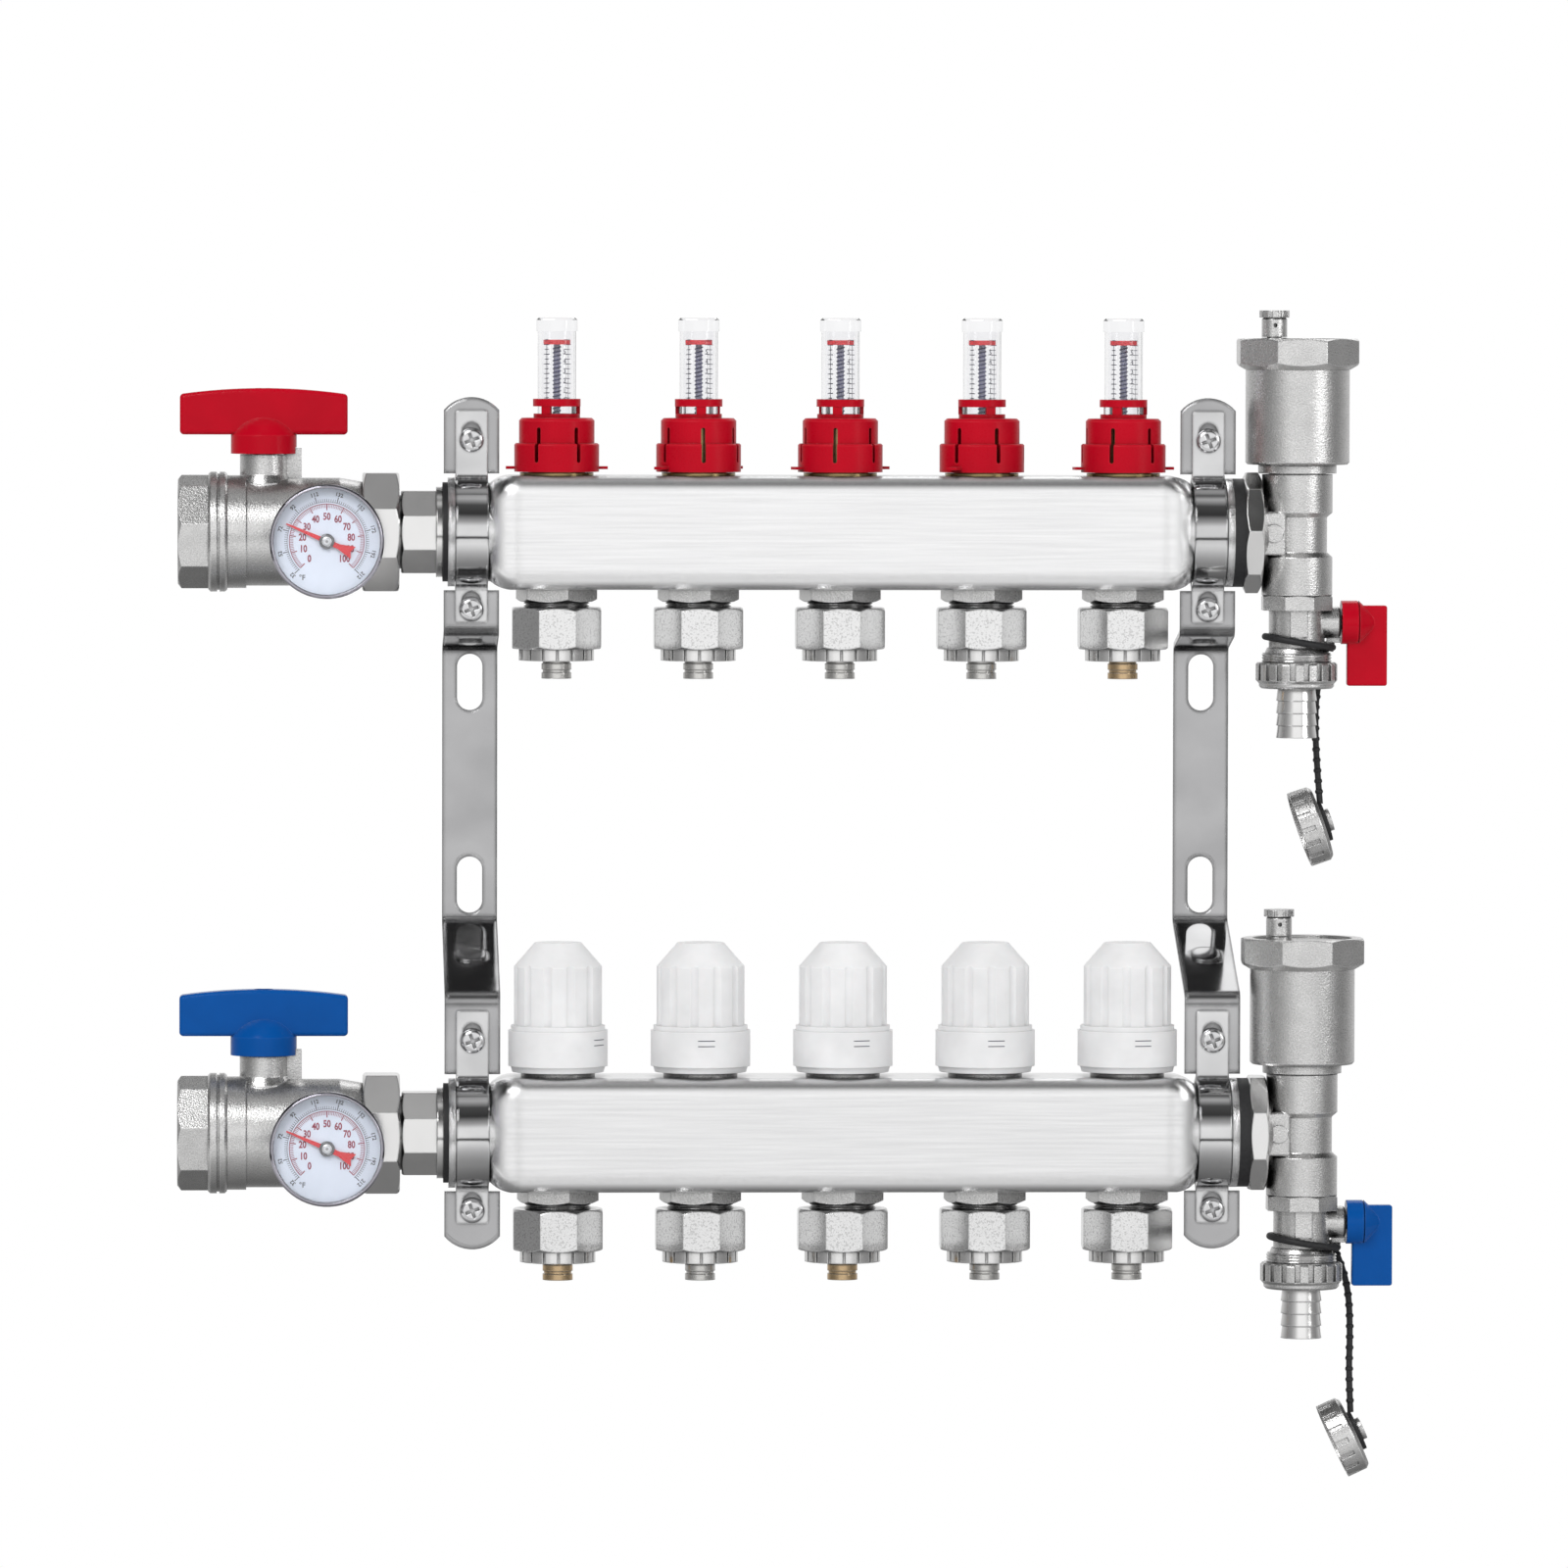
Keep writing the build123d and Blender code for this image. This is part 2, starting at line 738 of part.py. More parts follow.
def t_handle():
    """A T handle with a domed hub, a crested bar and a quarter notch under the hub for the stop fin."""
    base = bonnet_top + face_gap
    half = handle_length / 2
    outline = Polyline(
        (-half, handle_end_top), (-half, handle_bottom), (half, handle_bottom), (half, handle_end_top))
    outline += ThreePointArc((half, handle_end_top), (0, handle_crest), (-half, handle_end_top))
    blade = extrude(Plane.XZ * make_face(outline), handle_thickness / 2, both=True)
    blade = fillet(blade.edges(), handle_edge)
    hub = Pos(0, 0, base) * turned([(handle_crest - base - 6, hub_radius, hub_radius)])
    drop = sqrt(hub_dome_radius ** 2 - hub_radius ** 2)
    dome = Pos(0, 0, hub_skirt_top - drop) * Sphere(hub_dome_radius)
    dome += Pos(0, 0, base) * turned([(hub_skirt_top - base, hub_radius, hub_radius)])
    handle = (hub & dome) + blade
    handle -= Pos(0, 0, base) * Box(
        stem_square + 2 * shaft_fit, stem_square + 2 * shaft_fit, 2 * (handle_screw_seat() - 2 - base))
    handle -= Pos(0, 0, handle_screw_seat() - 2) * Cylinder(
        handle_screw_radius + shaft_fit, handle_crest)
    handle -= Pos(0, 0, handle_screw_seat()) * Cylinder(
        handle_screw_head, 20, align=standing)
    sweep = 90 + 2 * hub_notch_margin
    notch_height = fin_top + face_gap - base
    ring = Cylinder(2 * hub_radius, notch_height, arc_size=sweep, align=(
        Align.NONE, Align.NONE, Align.MIN))
    ring -= Cylinder(fin_inner - face_gap, 8 * notch_height)
    handle -= Pos(0, 0, base) * Rot(0, 0, -hub_notch_margin) * ring
    return handle


def gauge_case():
    """Cup, bezel and threaded stem of a dial gauge, facing +Z with its front at Z = 0."""
    cup = Pos(0, 0, -case_depth) * turned([
        (case_round, case_radius - case_round, case_radius),
        (case_depth - bezel_depth - case_round, case_radius, case_radius),
        (bezel_depth - fine_edge, bezel_radius, bezel_radius),
        (fine_edge, bezel_radius, bezel_radius - fine_edge)])
    cup -= Pos(0, 0, case_floor - case_depth) * turned(
        [(2 * case_depth, case_radius - case_wall, case_radius - case_wall)])
    stem_length = gauge_front - case_depth - gauge_seat + 7
    cup += Pos(0, 0, -case_depth - stem_length) * turned(
        [(stem_length, gauge_stem_radius, gauge_stem_radius)])
    cup += Pos(0, 0, -gauge_front + gauge_boss_reach) * turned(
        [(gauge_front - case_depth - gauge_boss_reach, gauge_boss_radius, gauge_boss_radius)])
    return cup


def gauge_needle():
    """Pointer with a fan-shaped tail on a thin spindle, in front of the dial."""
    level = -dial_depth + dial_thickness + needle_lift
    pointer = make_face(Polyline(
        (0, needle_root), (-needle_length, needle_tip), (-needle_length, -needle_tip),
        (0, -needle_root), close=True))
    waist = (needle_tail * 0.45, needle_root)
    fan = (needle_tail, needle_fan)
    tail = make_face(Polyline(
        (0, needle_root), waist, fan, (needle_tail * 0.9, 0), (fan[0], -fan[1]),
        (waist[0], -waist[1]), (0, -needle_root), close=True))
    flat = Rot(0, 0, needle_angle - 180) * (pointer + tail)
    needle = extrude(Pos(0, 0, level) * flat, needle_thickness)
    needle += Pos(0, 0, level - 0.2) * turned([(0.7, needle_hub, needle_hub), (0.3, needle_hub, 1.2)])
    pin_length = case_depth - case_floor - dial_depth + dial_thickness + needle_lift - face_gap
    needle += Pos(0, 0, level - pin_length) * turned([(pin_length, needle_pin, needle_pin)])
    return needle


def end_reducer(turn):
    """Screwed into the bar's neck, with flats; outwards along +Z and with +X down."""
    thread = neck_bore - thread_fit
    piece = Pos(0, 0, neck_end - reducer_thread_length) * turned([
        (reducer_thread_length, thread, thread),
        (right_seal, thread - 0.9, thread - 0.9)])
    piece += Pos(0, 0, reducer_start) * flats(reducer_flats, reducer_length, turn=turn, bevels=(1, 1))
    return piece - Cylinder(branch_radius + thread_fit, 4 * neck_end)


def end_tee():
    """Tee about the vent's axis, with the bar's axis at Z = 0 and its side branch towards -X."""
    socket_bands = [
        (tee_socket, tee_radius, tee_radius),
        (tee_bevel, tee_radius, tee_waist)]
    waist = tee_top + tee_bottom - 2 * (tee_socket + tee_bevel)
    body = Pos(0, 0, -tee_bottom) * turned(
        socket_bands + [(waist, tee_waist, tee_waist)] + [(l, b, a) for l, a, b in reversed(socket_bands)])
    reach = tee_offset - reducer_end
    arm = turned([
        (reach - branch_flare_length, branch_radius, branch_radius),
        (branch_flare_length, branch_flare - 2.5, branch_flare)])
    spigot = turned([(reach + reducer_length, branch_radius, branch_radius)])
    body += leftwards * (arm + spigot)
    block_length, block_reach, block_height = branch_block
    block = Box(block_length, 2 * block_reach, block_height, align=(
        Align.MIN, Align.CENTER, Align.CENTER))
    body += Pos(-reach, 0, 0) * fillet(block.edges(), branch_block_edge)
    emboss = Cylinder(branch_emboss, block_reach + branch_emboss_rise, align=standing)
    body += Pos(-reach + block_length / 2, 0, 0) * facing * emboss
    top_bore = Cylinder(tee_bore, tee_socket_depth, align=(Align.CENTER, Align.CENTER, Align.MAX))
    bottom_bore = Cylinder(tee_bore, tee_socket_depth, align=standing)
    body -= Pos(0, 0, tee_top) * top_bore
    body -= Pos(0, 0, -tee_bottom) * bottom_bore
    body -= Cylinder(tee_waist - 3, 3 * tee_top)
    body -= leftwards * Cylinder(branch_radius - 2.5, 3 * reach, align=standing)
    return body


def vent_body():
    """Air vent housing with its threaded foot, from the tee's top at Z = 0 upwards."""
    gap, base = vent_base
    body = Pos(0, 0, gap) * turned([
        (base, vent_base_radius, vent_base_radius),
        (vent_neck, vent_base_radius - edge, vent_base_radius - edge),
        (edge, vent_radius - edge, vent_radius),
        (vent_body_length - edge, vent_radius, vent_radius)])
    body += Pos(0, 0, -vent_thread_length) * turned(
        [(vent_thread_length + gap, vent_thread_radius, vent_thread_radius)])
    cavity = vent_radius - vent_wall
    body -= Pos(0, 0, gap + base + vent_wall) * turned([(2 * vent_body_length, cavity, cavity)])
    body -= Cylinder(vent_inlet_radius, 8 * vent_thread_length)
    return body


def vent_lid():
    """Octagonal lid with a plug in the housing and an offset bleed pin; its foot at Z = 0."""
    lid = flats(lid_flats, lid_bevel + lid_length, turn=22.5)
    corner = lid_flats / 2 / cos(pi / 8) + 0.01
    lid &= turned([
        (lid_bevel, vent_radius + face_gap, corner),
        (lid_length - edge, corner, corner),
        (edge, corner, lid_flats / 2)])
    top = lid_bevel + lid_length
    lid -= Pos(0, 0, top - lid_recess) * turned([(lid_bevel, lid_recess_radius, lid_recess_radius)])
    plug = vent_radius - vent_wall - thread_fit
    lid += Pos(0, 0, -lid_plug) * turned([(lid_plug, plug, plug)])
    lid += Pos(-bleed_offset, 0, top - lid_recess) * turned(
        [(lid_recess + bleed_step, bleed_radius, bleed_radius)])
    lid += Pos(-bleed_offset, 0, top - lid_recess) * turned(
        [(lid_recess + bleed_pin_height, bleed_pin_radius, bleed_pin_radius)])
    return lid


def bleed_cap():
    """Small cap over the bleed pin, with a side hole and a notched crown; foot at Z = 0."""
    cap = turned([
        (bleed_height - fine_edge, bleed_radius, bleed_radius),
        (fine_edge, bleed_radius, bleed_radius - fine_edge),
        (bleed_crown_height, bleed_crown_radius, bleed_crown_radius)])
    cap -= Cylinder(bleed_pin_radius + running_fit, 2 * bleed_pin_height)
    cap -= Pos(0, 0, bleed_height * 0.6) * facing * Cylinder(bleed_hole, 4 * bleed_radius)
    for i in range(bleed_notches):
        notch = Box(bleed_notch, bleed_notch, 2 * bleed_crown_height)
        turn = Rot(0, 0, 360 / bleed_notches * i)
        cap -= turn * Pos(bleed_crown_radius, 0, bleed_height + bleed_crown_height) * notch
    return cap


def drain_body():
    """Drain valve body downwards from the tee's foot: built along +Z with the stem towards +X."""
    body = Pos(0, 0, -drain_thread_length) * turned(
        [(drain_thread_length, drain_thread_radius, drain_thread_radius)])
    body += flats(drain_flats, drain_flats_length, turn=22.5, bevels=(0.8, 0))
    body += Pos(0, 0, drain_flats_length) * turned([
        (drain_body_length, drain_radius, drain_radius),
        (drain_flare_length, drain_flare_radius - edge, drain_flare_radius),
        (drain_spigot_length, drain_spigot_radius, drain_spigot_radius)])
    boss = turned([
        (drain_boss_end - edge, drain_boss_radius, drain_boss_radius),
        (edge, drain_boss_radius, drain_boss_radius - edge)])
    body += Pos(0, 0, drain_stem_drop) * rightwards * boss
    pad = Box(drain_pad_width, drain_radius, drain_pad_length, align=(
        Align.CENTER, Align.MIN, Align.MIN))
    body += Pos(0, 0, drain_flats_length) * pad
    stop = Box(*drain_stop, align=(Align.MAX, Align.CENTER, Align.MIN))
    body += Pos(drain_boss_end, 0, drain_stem_drop + drain_boss_radius - edge / 2) * stop
    body -= Cylinder(drain_bore, 4 * drain_body_end)
    body -= Pos(0, 0, drain_stem_drop) * Sphere(drain_ball_radius + running_fit)
    body -= Pos(0, 0, drain_stem_drop) * rightwards * Cylinder(
        drain_stem_radius + shaft_fit, 2 * drain_boss_end, align=standing)
    return body


def drain_ball():
    """Ball and stem of a drain valve in one piece, the stem along +X with a square end."""
    ball = Sphere(drain_ball_radius) - Cylinder(drain_bore - 0.5, 4 * drain_ball_radius)
    stem_start = drain_ball_radius - 2 * edge
    hub_start = drain_boss_end + face_gap
    ball += Pos(stem_start, 0, 0) * rightwards * turned(
        [(hub_start - stem_start, drain_stem_radius, drain_stem_radius)])
    square = Box(lever_socket, drain_square, drain_square, align=(
        Align.MIN, Align.CENTER, Align.CENTER))
    return ball + Pos(hub_start, 0, 0) * square


def drain_lever():
    """Lever with a round hub and a blade that hangs along the valve; the stem's axis is X."""
    hub_start = drain_boss_end + face_gap
    hub = Pos(hub_start, 0, 0) * rightwards * turned([
        (lever_hub_length - fine_edge, lever_hub_radius, lever_hub_radius),
        (fine_edge, lever_hub_radius, lever_hub_radius - fine_edge)])
    blade = Box(lever_width, lever_thickness, lever_rise + lever_reach, align=(
        Align.MIN, Align.CENTER, Align.MAX))
    blade = Pos(hub_start + lever_inset, 0, lever_rise) * blade
    blade = fillet(blade.edges(), lever_edge)
    shoulder = turned([(lever_shoulder, lever_hub_radius, lever_thickness / 2)])
    hub += Pos(hub_start + lever_hub_length, 0, 0) * rightwards * shoulder
    side = drain_square + 2 * shaft_fit
    socket = Box(lever_socket + shaft_fit, side, side, align=(
        Align.MIN, Align.CENTER, Align.CENTER))
    return hub + blade - Pos(hub_start, 0, 0) * socket


def hose_nut():
    """Knurled nut on the drain's spigot, holding the hose tail; along +Z from its open end."""
    nut = turned([
        (fine_edge, hose_nut_radius - fine_edge, hose_nut_radius),
        (hose_rib_length - fine_edge, hose_nut_radius, hose_nut_radius),
        (hose_slope, hose_nut_radius, hose_rim_radius),
        (hose_nut_length - hose_rib_length - hose_slope - edge, hose_rim_radius, hose_rim_radius),
        (edge, hose_rim_radius, hose_rim_radius - edge)])
    for i in range(hose_nut_ribs):
        groove = Box(*hose_groove, 2 * hose_rib_length)
        nut -= Rot(0, 0, 360 / hose_nut_ribs * i) * Pos(hose_nut_radius, 0, 0) * groove
    bore = drain_spigot_radius + thread_fit
    nut -= turned([(hose_nut_length - hose_lip, bore, bore)])
    return nut - Cylinder(tail_radius + thread_fit, 4 * hose_nut_length)


def hose_tail():
    """Barbed hose tail with a lip inside the nut; along +Z from the lip's face."""
    lip = drain_body_end + drain_flare_length + drain_spigot_length
    nut_floor = hose_nut_start + hose_nut_length - hose_lip
    seat = drain_spigot_radius - fine_edge
    neck = tail_radius - thread_fit
    bands = [(nut_floor - lip, seat, seat), (hose_lip, neck, neck)]
    step = tail_length / tail_barbs
    for _ in range(tail_barbs):
        bands.append((step, tail_radius - tail_barb, tail_radius + thread_fit))
    return Pos(0, 0, lip) * turned(bands, bore=tail_bore)


def cap_frame(centre, tilt):
    """The hanging cap's own frame: +Z along its axis towards the boss."""
    return Pos(*centre) * Rot(0, -tilt, 0) * rightwards


def drain_cap():
    """Ribbed cup with a boss on its back that the strap's eye goes round; centred on the cup."""
    half = cap_thickness / 2
    cap = Pos(0, 0, -half) * turned([
        (cap_thickness - cap_round, cap_radius, cap_radius),
        (cap_round, cap_radius, cap_radius - cap_round)])
    for i in range(cap_ribs):
        groove = Box(*cap_groove, cap_thickness * 1.2)
        cap -= Rot(0, 0, 360 / cap_ribs * i) * Pos(cap_radius, 0, -half) * groove
    inner = cap_radius - cap_wall
    cap -= Pos(0, 0, -half - edge) * turned([(cap_thickness - cap_wall + edge, inner, inner)])
    neck = eye_thickness + 2 * thread_fit
    cap += Pos(0, 0, half) * turned([
        (neck, cap_neck_radius, cap_neck_radius),
        (cap_boss_thickness, cap_boss_radius, cap_boss_radius)])
    return cap


def strap_eye():
    bore = cap_neck_radius + thread_fit
    start = cap_thickness / 2 + thread_fit
    return Pos(0, 0, start) * turned([(eye_thickness, eye_radius, eye_radius)], bore=bore)


def strap_loop(end):
    """Loop round the drain's body, tilted, with a lobe that the beaded tail leaves at `end`."""
    loop = Torus(drain_radius + loop_radius + loop_room, loop_radius)
    lobe = Pos(end[0], end[1], end[2]) * Cylinder(lobe_radius, lobe_length)
    link = Polyline((drain_radius + loop_radius, 0, 0), (end[0], end[1], end[2]))
    bridge = sweep(Plane(origin=link @ 0, z_dir=link % 0) * Circle(loop_radius), path=link)
    return loop + lobe + bridge


def cord(route):
    """A plain tube of straight runs joined by tangent arcs, with its radii and lengths."""
    points = [Vector(*p) for p in route]
    radii = []
    for a, b, c in zip(points, points[1:], points[2:]):
        turn = radians((b - a).get_angle(c - b))
        shorter = min((b - a).length, (c - b).length)
        radii.append(0.45 * shorter / (sin(turn / 2) / cos(turn / 2)))
    path = FilletPolyline(*points, radius=radii)
    tube = sweep(Plane(origin=path @ 0, z_dir=path % 0) * Circle(cord_radius), path=path)
    share = tube.volume / (pi * cord_radius ** 2 * path.length)
    print("cord length", round(path.length, 1), "volume share", round(share, 4))
    print("arc radii", [round(r, 1) for r in radii])
    return tube


def meter_insert():
    """Brass seat of a flow meter: flange on the bar, threaded shank below and neck above."""
    insert = turned([
        (insert_flange, insert_flange_radius, insert_flange_radius),
        (insert_neck_top - insert_flange, insert_neck_radius, insert_neck_radius)])
    shank = top_port_radius - thread_fit
    insert += Pos(0, 0, -insert_shank) * turned([(insert_shank, shank, shank)])
    insert -= Cylinder(insert_waterway, 4 * insert_neck_top)
    seat = Cylinder(insert_bore, insert_neck_top, align=standing)
    return insert - Pos(0, 0, tube_foot) * seat


def sight_tube():
    """Clear tube with a thicker cap, standing in the insert's neck."""
    foot = insert_bore - thread_fit
    tube = Pos(0, 0, tube_foot) * turned([
        (insert_neck_top + edge - tube_foot, foot, foot),
        (tube_top - insert_neck_top - edge, tube_radius, tube_radius),
        (tube_cap - edge, tube_cap_radius, tube_cap_radius),
        (edge, tube_cap_radius, tube_cap_radius - edge)])
    bore = Cylinder(tube_bore, tube_top, align=(Align.CENTER, Align.CENTER, Align.MAX))
    return tube - Pos(0, 0, tube_top) * bore


def flow_collar():
    """Turning collar round a flow meter: slit skirt, two ears, and an open ring on pillars above."""
    foot = insert_flange + face_gap
    disc_top = collar_top + collar_disc
    ring_bottom = disc_top + collar_pillars
    collar = Pos(0, 0, foot) * turned([
        (collar_skirt_top - foot - collar_edge, collar_skirt_radius, collar_skirt_radius),
        (collar_edge, collar_skirt_radius, collar_skirt_radius - collar_edge),
        (collar_top - collar_skirt_top - collar_crown, collar_radius, collar_radius),
        (collar_crown, collar_radius, collar_radius - collar_crown),
        (collar_disc, collar_disc_radius, collar_disc_radius)])
    for turn in (0, 180):
        ear = Box(ear_reach + 2, ear_width, ear_thickness, align=(
            Align.MAX, Align.CENTER, Align.MIN))
        collar += Rot(0, 0, turn) * Pos(collar_skirt_radius + ear_reach, 0, foot + ear_lift) * ear
    ring = Pos(0, 0, ring_bottom) * turned([(collar_ring, collar_ring_radius, collar_ring_radius)])
    for turn in (0, 120, 240):
        pillar = Box(pillar_depth, pillar_width, collar_pillars + 2 * thread_fit, align=(
            Align.MAX, Align.CENTER, Align.MIN))
        ring += Rot(0, 0, turn) * Pos(collar_disc_radius, 0, disc_top - thread_fit) * pillar
    collar += ring
    collar -= Cylinder(tube_radius + running_fit, 4 * collar_top)
    inner = insert_neck_radius + running_fit
    collar -= Pos(0, 0, foot) * turned([(insert_neck_top + face_gap - foot, inner, inner)])
    depth = collar_skirt_radius + face_gap
    slit = extrude(SlotOverall(slit_top - slit_bottom, slit_width, rotation=90), depth)
    slit = Pos(0, 0, (slit_bottom + slit_top) / 2) * facing * slit
    for i in range(collar_slits):
        collar -= Rot(0, 0, 360 / collar_slits * (i + 0.5)) * slit
    return collar


def flow_float():
    """Indicator disc, rod and metering plunger of a flow meter, hanging in its clear tube."""
    rod_top = float_height - float_thickness / 2
    return Pos(0, 0, rod_foot - plunger_height) * turned([
        (plunger_height, plunger_radius - edge, plunger_radius),
        (rod_top - rod_foot, rod_radius, rod_radius),
        (float_thickness, float_radius, float_radius)])


def valve_insert():
    """Thermostatic insert under a valve cap: flange, thread and pin."""
    insert = turned([
        (valve_flange, valve_flange_radius, valve_flange_radius),
        (valve_thread_top - valve_flange, valve_thread, valve_thread),
        (valve_pin_top - valve_thread_top, valve_pin_radius, valve_pin_radius)])
    shank = top_port_radius - thread_fit
    return insert + Pos(0, 0, -insert_shank) * turned([(insert_shank, shank, shank)])


def cap_knob():
    """White hand cap: lip, ring with marks, fluted body and conical top."""
    foot = valve_flange + face_gap
    knob = turned([
        (knob_lip - face_gap, knob_lip_radius - fine_edge, knob_lip_radius),
        (knob_ring, knob_ring_radius, knob_ring_radius),
        (knob_step, knob_step_radius, knob_step_radius),
        (knob_body, knob_radius, knob_radius),
        (knob_cone, knob_radius, knob_top_radius)])
    start = knob_lip + knob_ring + knob_step
    for i in range(knob_flutes):
        turn = Rot(0, 0, 360 / knob_flutes * (i + 0.5))
        flute = Cylinder(flute_radius, knob_body + knob_cone, align=standing)
        knob -= turn * Pos(knob_radius + flute_radius - flute_depth, 0, start) * flute
    knob = Pos(0, 0, foot) * knob
    inner = valve_thread + running_fit
    knob -= turned([(valve_thread_top + face_gap, inner, inner)])
    pin = valve_pin_radius + running_fit
    return knob - turned([(knob_bore_top, pin, pin)])


def branch_nipple():
    """Nipple screwed up into a bar: hexagon against the bar, neck, thread and cone; along +Z, downwards."""
    shank = bottom_port_radius - thread_fit
    piece = Pos(0, 0, -nipple_shank) * turned([(nipple_shank, shank, shank)])
    piece += flats(nipple_flats, nipple_flats_length, sides=6, turn=nipple_turn, bevels=(0, 1))
    piece += Pos(0, 0, nipple_flats_length) * turned([
        (nipple_neck, nipple_neck_radius, nipple_neck_radius),
        (nipple_thread_length, nipple_thread_radius, nipple_thread_radius)])
    return piece - Cylinder(nipple_bore, 4 * nipple_thread_length)


def branch_nut():
    bevels = (branch_nut_bevel, branch_nut_bevel)
    nut = flats(branch_nut_flats, branch_nut_length, turn=22.5, bevels=bevels)
    bore = nipple_thread_radius + thread_fit
    nut -= turned([(branch_nut_length - branch_nut_wall, bore, bore)])
    nut -= Cylinder(pipe_space + 1, 4 * branch_nut_length)
    return Pos(0, 0, nipple_flats_length + nipple_neck) * nut


def branch_ring():
    """Clamp ring below the nut, split by short grooves, with a stub inside the nut."""
    ring = turned([(branch_ring_length, branch_ring_radius, branch_ring_radius)])
    for i in range(branch_ring_grooves):
        groove = Box(*branch_ring_groove, 4 * branch_ring_length)
        ring -= Rot(0, 0, 360 / branch_ring_grooves * i) * Pos(branch_ring_radius, 0, 0) * groove
    stub = pipe_space + 1 - thread_fit
    ring += Pos(0, 0, -branch_ring_stub) * turned([(branch_ring_stub, stub, stub)])
    ring -= Cylinder(insert_radius + thread_fit, 4 * branch_ring_length)
    return Pos(0, 0, nipple_flats_length + nipple_neck + branch_nut_length) * ring


def pipe_insert():
    """Ridged insert that a pipe is pushed over, from inside the nipple to below the ring."""
    end = nipple_flats_length + nipple_neck + branch_nut_length + branch_ring_length
    start = nipple_flats_length
    ridge = insert_radius - insert_ridge
    step = insert_length / 6
    bands = [(end - start, insert_radius, insert_radius)]
    for _ in range(2):
        bands += [(step, ridge, ridge), (2 * step, insert_radius, insert_radius)]
    return Pos(0, 0, start) * turned(bands, bore=pipe_insert_bore)


# Nodes
nodes = {}
nodes["supply_bar"] = at_bar("supply") * bar(top_port_radius, bottom_port_radius)
nodes["return_bar"] = at_bar("return") * bar(top_port_radius, bottom_port_radius)

bracket = wall_bracket()
nodes["left_bracket"] = [Pos(-bracket_offset, 0, 0) * length for length in bracket]
nodes["right_bracket"] = [Pos(bracket_offset, 0, 0) * length for length in bracket]

sides = (-bracket_offset, bracket_offset)
nodes["clamp_straps"] = [piece for x in sides for piece in on_both(clamp_strap(), x)]
screw_seat = Pos(0, -strap_thickness, 0) * clamp_screw()
nodes["clamp_screws"] = [
    piece for x in sides for up in (upper_screw, -lower_screw) for piece in on_both(screw_seat, x, up)]

nodes["union_tailpieces"] = on_both(leftwards * union_tailpiece())
nodes["union_nuts"] = on_both(leftwards * union_nut())
nodes["valve_bodies"] = on_both(leftwards * valve_body())
nodes["valve_end_adapters"] = on_both(leftwards * end_adapter())
nodes["valve_seats"] = [piece for seat in valve_seat_pair() for piece in on_both(leftwards * seat)]

left_bore = left_seal_radius - seal_depth + thread_fit
right_bore = neck_bore - 1 + thread_fit
left_ring = turned([(left_seal, left_seal_radius, left_seal_radius)], bore=left_bore)
right_ring = turned([(right_seal, right_seal_radius, right_seal_radius)], bore=right_bore)
nodes["sealing_rings"] = on_both(leftwards * Pos(0, 0, neck_end) * left_ring)
nodes["sealing_rings"] += on_both(rightwards * Pos(0, 0, neck_end) * right_ring)

gauge_place = Pos(-gauge_offset, -gauge_front, -gauge_drop) * facing
dial_hole = needle_pin + thread_fit
cup_bore = case_radius - case_wall - thread_fit
dial = Pos(0, 0, -dial_depth) * turned([(dial_thickness, cup_bore, cup_bore)], bore=dial_hole)
lens = Pos(0, 0, -lens_depth - lens_thickness) * turned([(lens_thickness, cup_bore, cup_bore)])
nodes["gauge_cases"] = on_both(gauge_place * gauge_case())
nodes["gauge_dials"] = on_both(gauge_place * dial)
nodes["gauge_lenses"] = on_both(gauge_place * lens)

nodes["end_reducers"] = [
    at_bar(name) * rightwards * end_reducer(reducer_turn[name]) for name in bar_axes]
nodes["end_tees"] = on_both(end_tee(), tee_offset)
nodes["vent_bodies"] = on_both(vent_body(), tee_offset, tee_top)
lid_foot = tee_top + sum(vent_base) + vent_neck + vent_body_length
nodes["vent_lids"] = on_both(vent_lid(), tee_offset, lid_foot)
cap_foot = lid_foot + lid_bevel + lid_length + bleed_step + face_gap

downwards = Pos(0, 0, -tee_bottom) * hanging
nodes["drain_bodies"] = on_both(downwards * drain_body(), tee_offset)
nodes["hose_nuts"] = on_both(downwards * Pos(0, 0, hose_nut_start) * hose_nut(), tee_offset)
nodes["hose_tails"] = on_both(downwards * hose_tail(), tee_offset)

stem_level = -tee_bottom - drain_stem_drop
routes = {"supply": supply_route, "return": return_route}
caps = {
    "supply": at_bar("supply", tee_offset) * cap_frame(supply_cap_centre, supply_cap_tilt),
    "return": at_bar("return", tee_offset) * cap_frame(return_cap_centre, return_cap_tilt),
}
loop_pieces = []
for name in bar_axes:
    tee_place = at_bar(name, tee_offset)
    loop_place = Pos(loop_shift, 0, -tee_bottom - loop_drop) * Rot(0, loop_tilt, 0)
    local_end = loop_place.inverse() * Pos(*routes[name][0])
    loop_pieces.append(tee_place * loop_place * strap_loop(tuple(local_end.position)))
    loop_pieces.append(caps[name] * strap_eye())
    nodes[name + "_cap_strap"] = tee_place * cord(routes[name])
    nodes[name + "_spindle"] = [at_bar(name, -valve_axis) * piece for piece in spindle()]
    nodes[name + "_handle"] = at_bar(name, -valve_axis) * t_handle()
    nodes[name + "_needle"] = at_bar(name) * gauge_place * gauge_needle()
    nodes[name + "_drain_ball"] = at_bar(name, tee_offset, stem_level) * drain_ball()
    nodes[name + "_drain_handle"] = at_bar(name, tee_offset, stem_level) * drain_lever()
    nodes[name + "_vent_cap"] = at_bar(name, tee_offset - bleed_offset, cap_foot) * bleed_cap()
nodes["strap_loops"] = loop_pieces
nodes["drain_caps"] = [caps[name] * drain_cap() for name in bar_axes]

